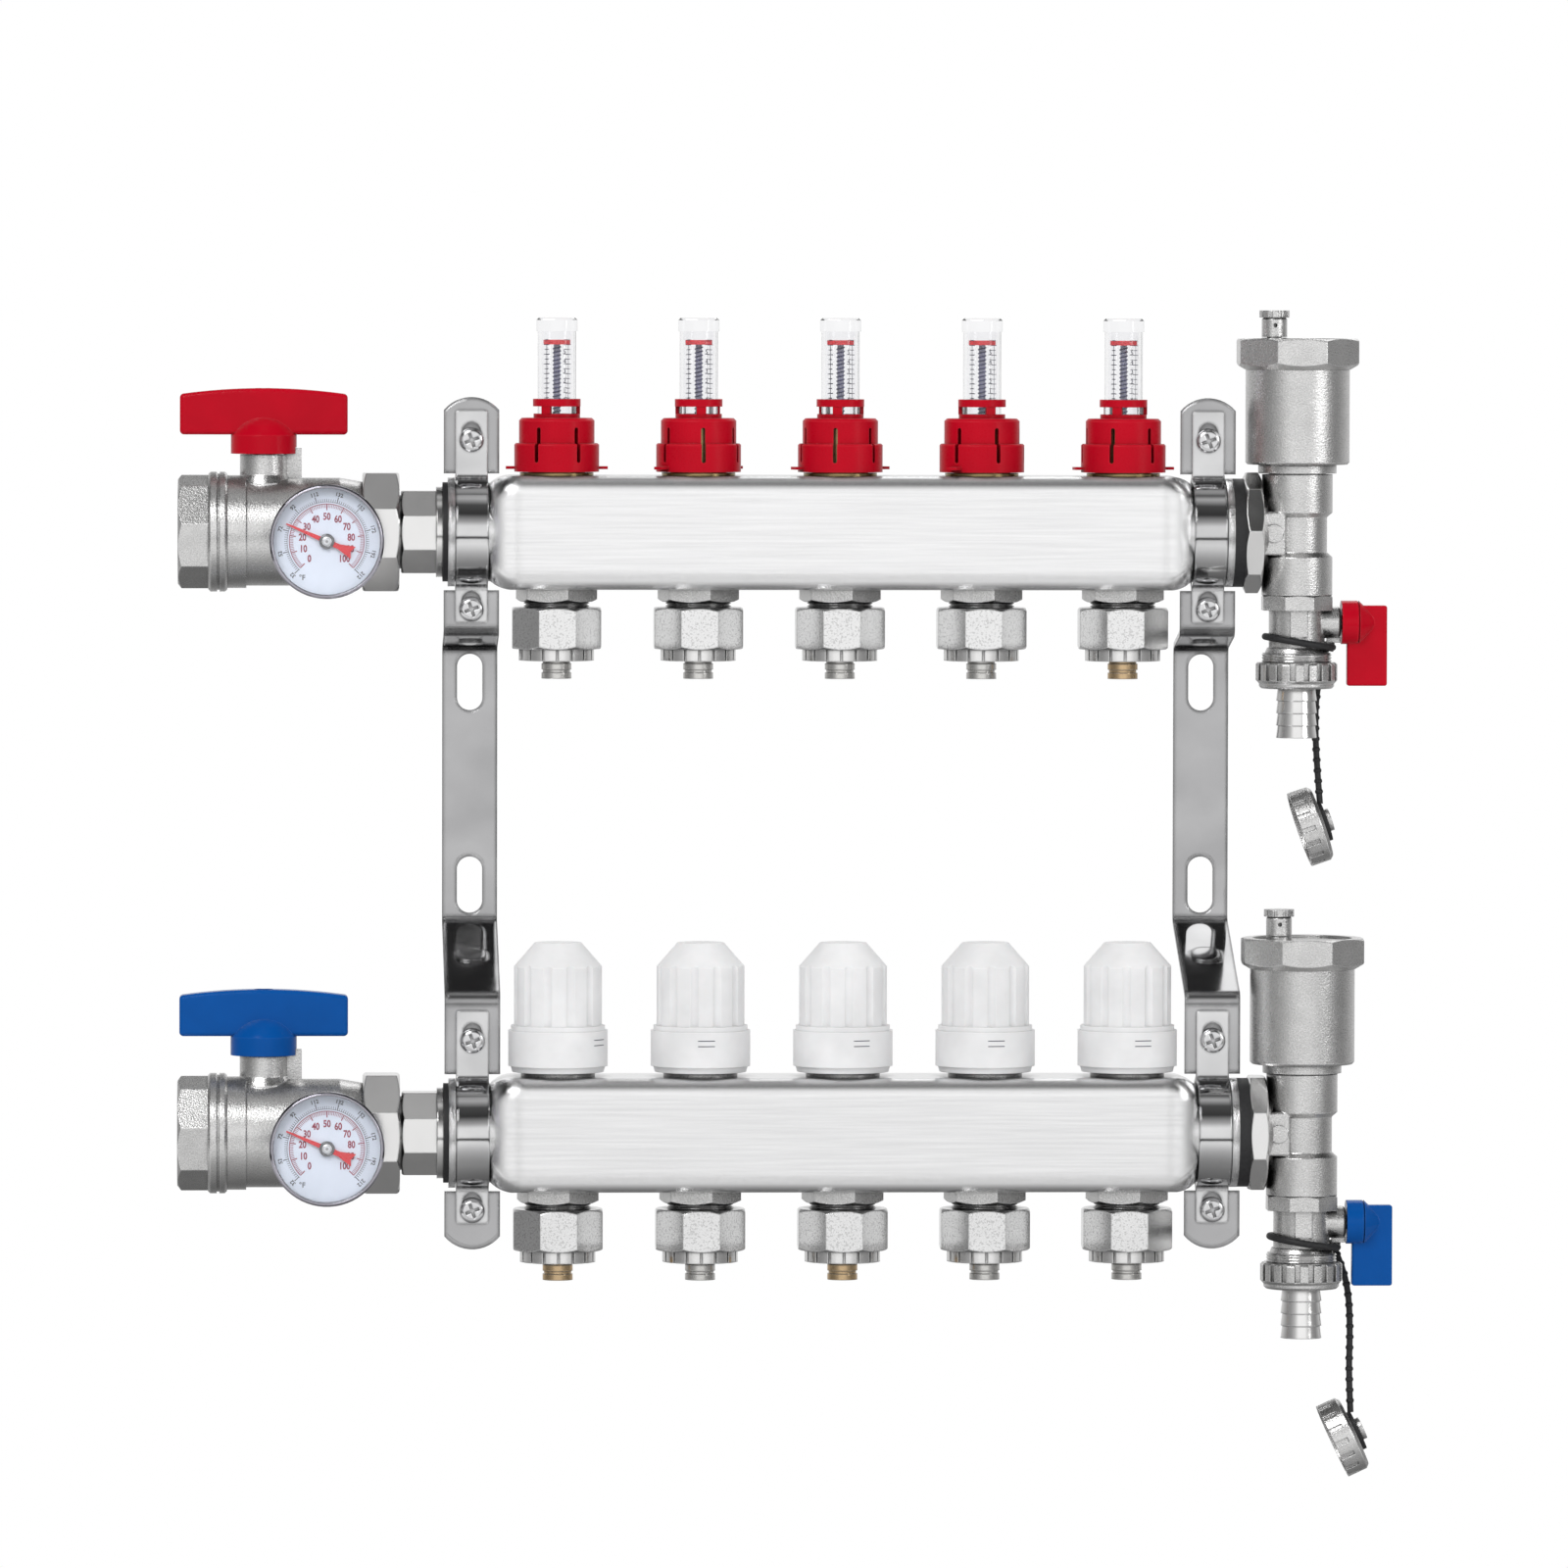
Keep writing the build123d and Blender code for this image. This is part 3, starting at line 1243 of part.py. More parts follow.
insert, tube, collar, float_piece = meter_insert(), sight_tube(), flow_collar(), flow_float()
valve, knob = valve_insert(), cap_knob()
nodes["meter_inserts"] = [at_bar("supply", x, bar_top) * insert for x in branch_places]
nodes["sight_tubes"] = [at_bar("supply", x, bar_top) * tube for x in branch_places]
nodes["valve_inserts"] = [at_bar("return", x, bar_top) * valve for x in branch_places]
for i, x in enumerate(branch_places):
    turn = Rot(0, 0, collar_turns[i % len(collar_turns)])
    nodes[f"flow_collar_{i + 1}"] = at_bar("supply", x, bar_top) * turn * collar
    nodes[f"flow_float_{i + 1}"] = at_bar("supply", x, bar_top) * float_piece
    nodes[f"cap_knob_{i + 1}"] = at_bar("return", x, bar_top) * turn * knob

for name, piece in (
        ("branch_nipples", branch_nipple()), ("branch_nuts", branch_nut()),
        ("branch_rings", branch_ring()), ("pipe_inserts", pipe_insert())):
    nodes[name] = [copy for x in branch_places for copy in on_both(hanging * piece, x, -bar_top)]

os.makedirs("parts", exist_ok=True)
for name, shape in nodes.items():
    solids = shape if isinstance(shape, list) else [shape]
    compound = Compound(children=[s for piece in solids for s in piece.solids()])
    export_step(compound, f"parts/{name}.step")
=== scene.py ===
"""Looks of a five-branch heating manifold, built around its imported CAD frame."""

import json
from math import cos, degrees, pi, radians, sin

import bmesh
import bpy
from bpy.props import FloatProperty, FloatVectorProperty, IntProperty, PointerProperty
from bpy.types import Operator, Panel, PropertyGroup
from mathutils import Matrix, Quaternion, Vector


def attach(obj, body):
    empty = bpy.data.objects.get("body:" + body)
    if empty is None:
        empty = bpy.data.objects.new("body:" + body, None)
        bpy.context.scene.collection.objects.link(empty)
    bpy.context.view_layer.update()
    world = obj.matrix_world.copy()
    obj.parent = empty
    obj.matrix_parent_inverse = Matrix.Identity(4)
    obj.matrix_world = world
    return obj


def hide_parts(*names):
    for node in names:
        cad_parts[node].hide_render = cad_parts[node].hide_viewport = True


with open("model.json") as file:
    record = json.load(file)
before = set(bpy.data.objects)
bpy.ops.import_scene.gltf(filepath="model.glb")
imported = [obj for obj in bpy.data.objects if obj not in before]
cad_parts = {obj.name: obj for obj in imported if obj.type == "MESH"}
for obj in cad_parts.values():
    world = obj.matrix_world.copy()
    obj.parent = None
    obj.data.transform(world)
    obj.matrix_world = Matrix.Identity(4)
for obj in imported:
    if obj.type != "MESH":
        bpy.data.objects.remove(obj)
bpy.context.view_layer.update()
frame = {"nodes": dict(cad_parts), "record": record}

bl_info = {
    "name": "Heating manifold",
    "version": (1, 0, 0),
    "blender": (4, 5, 0),
    "location": "View3D > Sidebar > Manifold",
    "description": "Finishes and small parts of a wall-mounted heating manifold",
    "category": "Object",
}

# Places of the CAD's features, in metres in the shared frame. A bar is named by what it does and
# placed by the middle of its axis.
BARS = {"supply": Vector((0, -0.032, 0.09)), "return": Vector((0, -0.062, -0.12))}
BAR_TOP = 0.02  # top of a bar over its axis
BRANCH_XS = [-0.1, -0.05, 0.0, 0.05, 0.1]
GAUGE_X = -0.1812
GAUGE_DROP = 0.0023  # middle of a dial under the bar's axis
DIAL_Y = -0.044  # face of a dial, from the bar's axis
HUB_Y = -0.045  # front of a needle, from the bar's axis
TEE_X = 0.1616
TEE_DROP = 0.0219  # top of a drain under the bar's axis

# The cap straps: control points as in the part's source, and measured lengths
STRAP_ROUTES = {
    "supply": [
        (0.1732, -0.0210, 0.0496), (0.1720, -0.0180, 0.0415), (0.1698, -0.0166, 0.0320),
        (0.1696, -0.0172, 0.0185), (0.1702, -0.0186, 0.0060), (0.1712, -0.0190, -0.0064),
    ],
    "return": [
        (0.1736, -0.0515, -0.1606), (0.1772, -0.0494, -0.1680), (0.1796, -0.0490, -0.1785),
        (0.1800, -0.0498, -0.1920), (0.1795, -0.0506, -0.2060), (0.1802, -0.0505, -0.2198),
    ],
}
STRAP_DIAMETER = 0.0022
STRAP_BARE_END = 0.002  # length at each end that has no beads

# The stage
CAMERA_X, CAMERA_Z = -0.21, 0.2
CAMERA_AIM = Vector((-0.0186, -0.0085, 0.0001))
LAMPS = [  # name, place, power setting, share of that power, diameter
    ("key_lamp", (-0.9, -1.6, 1.5), "key_power", 1.0, 1.2),
    ("side_lamp", (1.5, -1.2, 0.5), "fill_power", 1.0, 0.8),
    ("back_lamp", (0.4, 1.4, 1.2), "fill_power", 0.8, 1.0),
]
FLOOR_RADIUS = 2.0
FLOOR_Z = -0.62
# Brightness of the studio, as bright metal sees it: (degrees above the horizon, level), and
# (degrees round from the front, share of that level)
SKY_BANDS = [
    (-90, 0.22), (-62, 0.26), (-50, 0.52), (-26, 0.85), (-14, 1.0), (-13.2, 0.03), (-8.6, 0.03),
    (-7.8, 1.0), (0, 1.06), (14, 1.06), (24, 0.50), (40, 0.05), (62, 0.10), (78, 0.60), (90, 0.45)]
SKY_SIDES = [(0, 1.0), (20, 1.0), (40, 0.52), (65, 0.30), (90, 0.24), (125, 0.50), (180, 0.80)]
# Brightness of the floor, as bright metal sees it: (share of its radius, level)
FLOOR_RINGS = [(0, 0.24), (0.18, 0.34), (0.33, 0.55), (0.55, 0.85), (0.76, 1.0), (1.0, 1.0)]


class ManifoldSizes(PropertyGroup):
    """Sizes of the small parts."""

    bead_diameter: FloatProperty(
        name="Bead", description="Diameter of the beads on a cap strap",
        default=0.0029, min=0.001, max=0.005, unit="LENGTH")
    bead_pitch: FloatProperty(
        name="Bead pitch", description="Distance from one strap bead to the next",
        default=0.00375, min=0.002, max=0.01, unit="LENGTH")
    print_height: FloatProperty(
        name="Print", description="Thickness of the marks printed on the dials",
        default=0.00006, min=0.00002, max=0.0005, unit="LENGTH")
    thread_pitch: FloatProperty(
        name="Thread pitch", description="Distance between the crests of the inlets' threads",
        default=0.0014, min=0.0005, max=0.003, unit="LENGTH")
    spring_pitch: FloatProperty(
        name="Spring pitch", description="Distance between the turns of a meter spring",
        default=0.0014, min=0.0005, max=0.005, unit="LENGTH")
    spring_wire: FloatProperty(
        name="Spring wire", description="Diameter of the meter spring's wire",
        default=0.0005, min=0.0002, max=0.002, unit="LENGTH")
    sides: IntProperty(
        name="Sides", description="Segments of the turned threads", default=64, min=16, max=256)


class ManifoldColours(PropertyGroup):
    """Colours of the painted, moulded and printed parts."""

    red: FloatVectorProperty(
        name="Red", description="Flow collars and the supply handles", subtype="COLOR",
        default=(0.53, 0.001, 0.014), min=0, max=1)
    blue: FloatVectorProperty(
        name="Blue", description="Return handles", subtype="COLOR",
        default=(0.001, 0.085, 0.36), min=0, max=1)
    white: FloatVectorProperty(
        name="White", description="Valve caps", subtype="COLOR",
        default=(0.90, 0.90, 0.905), min=0, max=1)
    casting: FloatVectorProperty(
        name="Casting", description="Nickel-plated castings", subtype="COLOR",
        default=(0.80, 0.795, 0.79), min=0, max=1)
    steel: FloatVectorProperty(
        name="Steel", description="Brushed bars", subtype="COLOR",
        default=(0.93, 0.93, 0.935), min=0, max=1)
    dial: FloatVectorProperty(
        name="Dial", description="Dial faces", subtype="COLOR",
        default=(0.76, 0.81, 0.90), min=0, max=1)


class ManifoldStage(PropertyGroup):
    """Camera and light."""

    distance: FloatProperty(
        name="Distance", description="From the camera to the wall plane",
        default=4.5, min=1, max=12, unit="LENGTH")
    lens: FloatProperty(
        name="Lens", description="Focal length", default=291.2, min=50, max=900,
        unit="CAMERA")
    roll: FloatProperty(
        name="Roll", description="Turn of the camera about its line of sight",
        default=radians(0.13), min=-1, max=1, subtype="ANGLE")
    key_power: FloatProperty(
        name="Key", description="Power of the large soft lamp", default=20.0, min=0, max=200,
        unit="POWER")
    fill_power: FloatProperty(
        name="Fill", description="Power of the side lamp", default=5.0, min=0, max=200,
        unit="POWER")
    ambient: FloatProperty(
        name="Ambient", description="Level of the surrounding light", default=0.66, min=0,
        max=2, subtype="FACTOR")


# Material maker


class Value:
    """A number inside a material, which may vary over a surface and is used like a number.

    It also carries colours, vectors and shaders, which go through Maker's own calls.
    """

    def __init__(self, maker, socket):
        self.maker = maker
        self.socket = socket

    def __add__(self, other):
        return self.maker.math("ADD", self, other)

    __radd__ = __add__

    def __sub__(self, other):
        return self.maker.math("SUBTRACT", self, other)

    def __rsub__(self, other):
        return self.maker.math("SUBTRACT", other, self)

    def __mul__(self, other):
        return self.maker.math("MULTIPLY", self, other)

    __rmul__ = __mul__

    def __gt__(self, other):
        return self.maker.math("GREATER_THAN", self, other)

    def __lt__(self, other):
        return self.maker.math("LESS_THAN", self, other)


class Maker:
    """Builds one node tree: a material's or the world's."""

    def __init__(self, tree):
        self.tree = tree
        self.tree.nodes.clear()

    def node(self, kind, settings=None, inputs=None, output=0):
        """One node: its settings first, then its sockets' values or links; gives an output."""
        made = self.tree.nodes.new(kind)
        for name, setting in (settings or {}).items():
            if name == "stops":
                fill_ramp(made.color_ramp, setting)
            else:
                setattr(made, name, setting)
        for name, value in (inputs or {}).items():
            socket = made.inputs[name]
            if isinstance(value, Value):
                self.tree.links.new(value.socket, socket)
            elif socket.type == "RGBA":
                socket.default_value = (*value, 1)
            else:
                socket.default_value = value
        return Value(self, made.outputs[output] if made.outputs else None)

    def math(self, operation, *numbers):
        return self.node(
            "ShaderNodeMath", {"operation": operation}, dict(enumerate(numbers)), "Value")

    def place(self):
        """The point of the surface, in metres in the shared frame."""
        return self.node("ShaderNodeTexCoord", output="Object")

    def facing(self):
        """The surface's own direction, without bumps."""
        return self.node("ShaderNodeNewGeometry", output="Normal")

    def parts(self, vector, axes):
        """The named parts of a vector, such as XZ, as numbers."""
        return [
            self.node("ShaderNodeSeparateXYZ", None, {"Vector": vector}, axis) for axis in axes]

    def away(self, first, second):
        """Distance from an axis, from the distances along two directions across it."""
        return self.math("SQRT", first * first + second * second)

    def stretch(self, scale):
        """The point of the surface, scaled differently along each axis."""
        return self.node(
            "ShaderNodeMapping", {"vector_type": "POINT"},
            {"Vector": self.place(), "Scale": scale}, "Vector")

    def noise(self, scale, detail=3.0, where=None, roughness=0.55):
        return self.node(
            "ShaderNodeTexNoise", None,
            {"Vector": where or self.place(), "Scale": scale, "Detail": detail,
             "Roughness": roughness}, 0)

    def ramp(self, value, stops):
        return self.node("ShaderNodeValToRGB", {"stops": stops}, {"Fac": value}, "Color")

    def between(self, value, low, high, start=0.0, end=1.0):
        """Maps value from low..high to start..end, clamped."""
        return self.node(
            "ShaderNodeMapRange", {"clamp": True},
            {"Value": value, "From Min": low, "From Max": high, "To Min": start, "To Max": end},
            "Result")

    def mix(self, factor, first, second, blend="MIX"):
        """A colour between two colours."""
        return self.node(
            "ShaderNodeMix", {"data_type": "RGBA", "blend_type": blend},
            {"Factor": factor, 6: first, 7: second}, 2)

    def mix_shaders(self, factor, first, second):
        return self.node("ShaderNodeMixShader", None, {0: factor, 1: first, 2: second}, 0)

    def ray(self, kind):
        """1 for rays of a kind: Camera, Glossy, Transmission or Shadow."""
        return self.node("ShaderNodeLightPath", output=f"Is {kind} Ray")

    def light(self, kind, colour=(1, 1, 1), strength=1.0):
        """A surface or sky that shines: kind is Emission or Background."""
        return self.node(f"ShaderNode{kind}", None, {"Color": colour, "Strength": strength}, 0)

    def bump(self, height, distance, strength=1.0, over=None):
        inputs = {"Height": height, "Distance": distance, "Strength": strength}
        if over:
            inputs["Normal"] = over
        return self.node("ShaderNodeBump", None, inputs, "Normal")

    def rounded(self, size):
        """The surface's direction with its sharp edges rounded off."""
        return self.node("ShaderNodeBevel", {"samples": 4}, {"Radius": size}, "Normal")

    def hollow(self, reach, share=1.0):
        """Where shade is painted: how shut in a place is by what stands within reach, 0 in the
        open, up to share.
        """
        open_sky = self.node(
            "ShaderNodeAmbientOcclusion", {"samples": 4}, {"Distance": reach}, "AO")
        return self.between(open_sky, 0.75, 0.25, 0.0, share)

    def edge(self, size):
        """How sharp the surface turns nearby: 1 on edges, 0 on flat places."""
        likeness = self.node(
            "ShaderNodeVectorMath", {"operation": "DOT_PRODUCT"},
            {0: self.rounded(size), 1: self.facing()}, "Value")
        return self.between(likeness, 0.999, 0.93)

    def principled(self, **sockets):
        names = {
            "colour": "Base Color", "metallic": "Metallic", "roughness": "Roughness",
            "ior": "IOR", "normal": "Normal", "transmission": "Transmission Weight",
            "subsurface": "Subsurface Weight", "subsurface_radius": "Subsurface Radius",
            "subsurface_scale": "Subsurface Scale", "specular": "Specular IOR Level",
        }
        inputs = {names[name]: value for name, value in sockets.items()}
        return self.node("ShaderNodeBsdfPrincipled", None, inputs, "BSDF")

    def close(self, shader, kind="Material"):
        """Joins a shader to the output of the tree: kind is Material or World."""
        self.node(f"ShaderNodeOutput{kind}", None, {"Surface": shader})


def fill_ramp(ramp, stops):
    """Puts grey stops on a new ramp: (place, level) in rising order, the first at 0."""
    ramp.elements.remove(ramp.elements[1])
    for i, (place, level) in enumerate(stops):
        element = ramp.elements.new(place) if i else ramp.elements[0]
        element.color = (level, level, level, 1)


def new_material(name):
    material = bpy.data.materials.new(name)
    material.use_nodes = True
    return material, Maker(material.node_tree)


def scaled(colour, share):
    """A colour made darker or lighter, up to white."""
    return [min(1.0, part * share) for part in colour]


def brushed_steel(name, colour):
    """Stainless sheet: fine lines along X on its long faces, plain satin on its round ends."""
    material, m = new_material(name)
    lines = m.noise(1.0, 4.0, m.stretch((22, 1000, 1000)))
    broad = m.noise(1.0, 2.0, m.stretch((14, 150, 150)))
    outwards, = m.parts(m.facing(), "Y")
    long_face = m.between(m.math("ABSOLUTE", outwards), 0.96, 0.995)
    shade = m.mix(m.between(lines, 0.3, 0.7) * long_face, colour, scaled(colour, 0.94))
    shade = m.mix(m.between(broad, 0.35, 0.65, 0.0, 0.5), shade, scaled(colour, 0.975))
    # Painted shade: the steel darkens where other parts stand close, in corners and between parts.
    shade = m.mix(m.hollow(0.008, 0.7), shade, scaled(colour, 0.25))
    roughness = 0.17 + m.between(lines, 0.25, 0.75, 0.0, 0.09) * long_face
    m.close(m.principled(
        colour=shade, metallic=1.0, roughness=roughness,
        normal=m.bump(lines * long_face, 0.000006, 0.5, m.rounded(0.004))))
    return material


def plated(name, colour, roughness=0.12, grain=0.0, sway=0.0, marks=None, rim=1.25,
           fold=0.0006):
    """Bright plating over turned or pressed metal: soft edges, painted shade in its corners and
    faint clouds.

    grain is the strength of its fine grain and sway the height of its slow waves. marks may paint
    over the colour, rim scales it on edges as painted light, and fold is the radius of those
    edges.
    """
    material, m = new_material(name)
    cloud = m.noise(90.0, 3.0)
    fine = m.noise(2200.0, 2.0)
    tone = m.mix(m.between(cloud, 0.35, 0.7), scaled(colour, 0.94), colour)
    if marks:
        tone = marks(m, tone)
    # Painted light on the edges: a painted highlight where the colour is scaled up, and a painted
    # shade where it is scaled down.
    tone = m.mix(m.edge(0.0005) * 0.5, tone, scaled(colour, rim))
    # Painted shade: the plating darkens almost to black in corners and between parts.
    tone = m.mix(m.hollow(0.004, 0.85), tone, scaled(colour, 0.08))
    rough = m.between(cloud, 0.3, 0.7, roughness * 0.8, roughness * 1.3)
    normal = m.rounded(fold)
    if sway:
        normal = m.bump(m.noise(1.0, 1.0, m.stretch((22, 22, 40))), sway, 1.0, normal)
    normal = m.bump(fine * max(grain, 0.05) + cloud * 0.2, 0.00002 + 0.00008 * grain,
                    0.4 + 0.5 * grain, normal)
    m.close(m.principled(colour=tone, metallic=1.0, roughness=rough, normal=normal))
    return material


def pressed(m, tone):
    """Broad grey clouds of bright pressed strip."""
    cloud = m.noise(1.0, 1.0, m.stretch((30, 30, 55)))
    return m.mix(m.between(cloud, 0.35, 0.65, 0.0, 0.30), tone, (0.24, 0.24, 0.245))


def speckled(m, tone):
    """Fine dark grains of blasted metal."""
    grain = m.noise(1500.0, 1.0)
    return m.mix(m.between(grain, 0.54, 0.64, 0.0, 0.30), tone, (0.22, 0.22, 0.22))


def brass_ends(m, tone):
    """Leaves some pipe inserts bare brass, by their places under the bars."""
    x, z = m.parts(m.place(), "XZ")
    supply = z > -0.05
    fifth = supply * (x > 0.075)
    first = (1 - supply) * (x < -0.075)
    third = (1 - supply) * (x > -0.025) * (x < 0.025)
    return m.mix((fifth + first + third) * 0.85, tone, (0.62, 0.42, 0.20))


def cast_nickel(name, colour):
    """Sand-cast brass under dull nickel: bright and dark grains, mottling, a painted highlight on
    its edges and painted shade in its corners.
    """
    material, m = new_material(name)
    grain = m.noise(2300.0, 2.0, roughness=0.6)
    pits = m.node(
        "ShaderNodeTexVoronoi", {"feature": "F1"}, {"Vector": m.place(), "Scale": 1500.0},
        "Distance")
    cloud = m.noise(130.0, 4.0)
    tone = m.mix(m.between(cloud, 0.3, 0.7), scaled(colour, 0.88), colour)
    tone = m.mix(m.between(grain, 0.5, 0.75, 0.0, 0.45), tone, scaled(colour, 0.55))
    tone = m.mix(m.between(pits, 0.25, 0.05, 0.0, 0.5), tone, scaled(colour, 1.5))
    # Painted highlight: the edges are made lighter.
    tone = m.mix(m.edge(0.0007) * 0.6, tone, scaled(colour, 1.3))
    # Painted shade: the casting darkens in corners and between parts.
    tone = m.mix(m.hollow(0.006, 0.85), tone, scaled(colour, 0.10))
    rough = m.between(grain, 0.3, 0.7, 0.22, 0.36)
    height = grain + pits * 0.6
    m.close(m.principled(
        colour=tone, metallic=1.0, roughness=rough,
        normal=m.bump(height, 0.00007, 0.8, m.rounded(0.0006))))
    return material


def moulded(name, colour, roughness=0.35, grain=0.4, specular=0.5, glow=0.0, shut=0.7,
            mirrored=None):
    """Moulded plastic or paint with a fine grain, faint flow clouds and a painted highlight on its
    edges.

    glow lets light into it and shut sets the shade painted into its corners. Bright metal mirrors
    it mostly as a grey of the level mirrored.
    """
    material, m = new_material(name)
    fine = m.noise(1800.0, 2.0)
    cloud = m.noise(60.0, 3.0)
    # Painted highlight: a lighter line along the edges.
    edge_highlight = [min(1.0, part * 1.25 + 0.03) for part in colour]
    tone = m.mix(m.between(cloud, 0.3, 0.7), scaled(colour, 0.88), colour)
    tone = m.mix(m.edge(0.0006) * 0.5, tone, edge_highlight)
    # Painted shade: the colour darkens in corners and between parts, as far as shut allows.
    tone = m.mix(m.hollow(0.005, shut), tone, scaled(colour, 0.12))
    sockets = {
        "colour": tone, "specular": specular,
        "roughness": m.between(fine, 0.3, 0.7, roughness * 0.85, roughness * 1.15),
        "normal": m.bump(fine, 0.00002, grain, m.rounded(0.0005)),
    }
    if glow:
        sockets.update(
            subsurface=glow, subsurface_radius=(1.0, 0.6, 0.5), subsurface_scale=0.002)
    shader = m.principled(**sockets)
    if mirrored:
        grey = m.principled(colour=(mirrored, mirrored, mirrored), roughness=roughness)
        shader = m.mix_shaders(m.ray("Glossy") * 0.8, shader, grey)
    m.close(shader)
    return material


def float_plastic(name, disc, rod):
    """Moulded float: a bright disc, and a dark rod and plunger close to each meter's axis."""
    material, m = new_material(name)
    x, y = m.parts(m.place(), "XY")
    half_pitch = (BRANCH_XS[1] - BRANCH_XS[0]) / 2
    away = m.away(m.math("WRAP", x, half_pitch, -half_pitch), y - BARS["supply"].y)
    fine = m.noise(1500.0, 2.0)
    tone = m.mix(m.between(away, 0.0013, 0.0015), rod, disc)
    tone = m.mix(m.between(fine, 0.3, 0.7, 0.0, 0.15), tone, (0, 0, 0))
    m.close(m.principled(
        colour=tone, roughness=m.between(fine, 0.3, 0.7, 0.3, 0.45),
        normal=m.bump(fine, 0.00002, 0.2)))
    return material


def needle_paint(name, paint, hub):
    """Painted pointer with a bare, turned hub: rings about the gauge's own axis."""
    material, m = new_material(name)
    x, z = m.parts(m.place(), "XZ")
    half_drop = (BARS["supply"].z - BARS["return"].z) / 2
    level = m.math("WRAP", z - (BARS["supply"].z - GAUGE_DROP), half_drop, -half_drop)
    away = m.away(x - GAUGE_X, level)
    bare = m.between(away, 0.00192, 0.00188)
    rings = m.ramp(m.between(away, 0.0, 0.002), [
        (0.0, 0.02), (0.22, 0.02), (0.26, 0.8), (0.55, 0.75), (0.6, 0.25), (0.7, 0.25),
        (0.75, 0.85)])
    fine = m.noise(1500.0, 2.0)
    tone = m.mix(m.between(fine, 0.3, 0.7, 0.0, 0.12), paint, (0, 0, 0))
    m.close(m.principled(
        colour=m.mix(bare, tone, m.mix(0.5, rings, hub)), metallic=bare, roughness=0.3,
        normal=m.bump(fine, 0.00001, 0.2)))
    return material


def rubber(name):
    """Black rubber with a fine, dull grain."""
    material, m = new_material(name)
    fine = m.noise(1200.0, 3.0)
    tone = m.mix(m.between(fine, 0.3, 0.7), (0.010, 0.010, 0.011), (0.024, 0.024, 0.026))
    m.close(m.principled(
        colour=tone, roughness=m.between(fine, 0.3, 0.7, 0.45, 0.65),
        normal=m.bump(fine, 0.00005, 0.5)))
    return material


def clear(name, tint, roughness=0.03):
    """Clear moulded plastic or glass, with the faintest waviness; light passes through it."""
    material, m = new_material(name)
    wave = m.noise(70.0, 2.0)
    glass = m.principled(
        colour=m.mix(m.between(wave, 0.3, 0.7), tint, scaled(tint, 0.96)),
        roughness=roughness, ior=1.46, transmission=1.0, normal=m.bump(wave, 0.00003, 0.2))
    open_way = m.node("ShaderNodeBsdfTransparent", None, {"Color": (0.95, 0.95, 0.95)}, 0)
    m.close(m.mix_shaders(m.ray("Shadow"), glass, open_way))
    return material


def dial_card(name, colour):
    """Printed dial card: satin, with a faint cloud in its colour."""
    material, m = new_material(name)
    cloud = m.noise(120.0, 3.0)
    fine = m.noise(2500.0, 2.0)
    tone = m.mix(m.between(cloud, 0.3, 0.7), scaled(colour, 0.96), colour)
    m.close(m.principled(
        colour=tone, roughness=m.between(fine, 0.3, 0.7, 0.35, 0.5),
        normal=m.bump(fine, 0.00001, 0.3)))
    return material


def ink(name, colour):
    """Printing ink, slightly uneven."""
    material, m = new_material(name)
    fine = m.noise(3000.0, 2.0)
    tone = m.mix(m.between(fine, 0.3, 0.7), scaled(colour, 0.85), colour)
    m.close(m.principled(colour=tone, roughness=m.between(fine, 0.3, 0.7, 0.4, 0.6)))
    return material


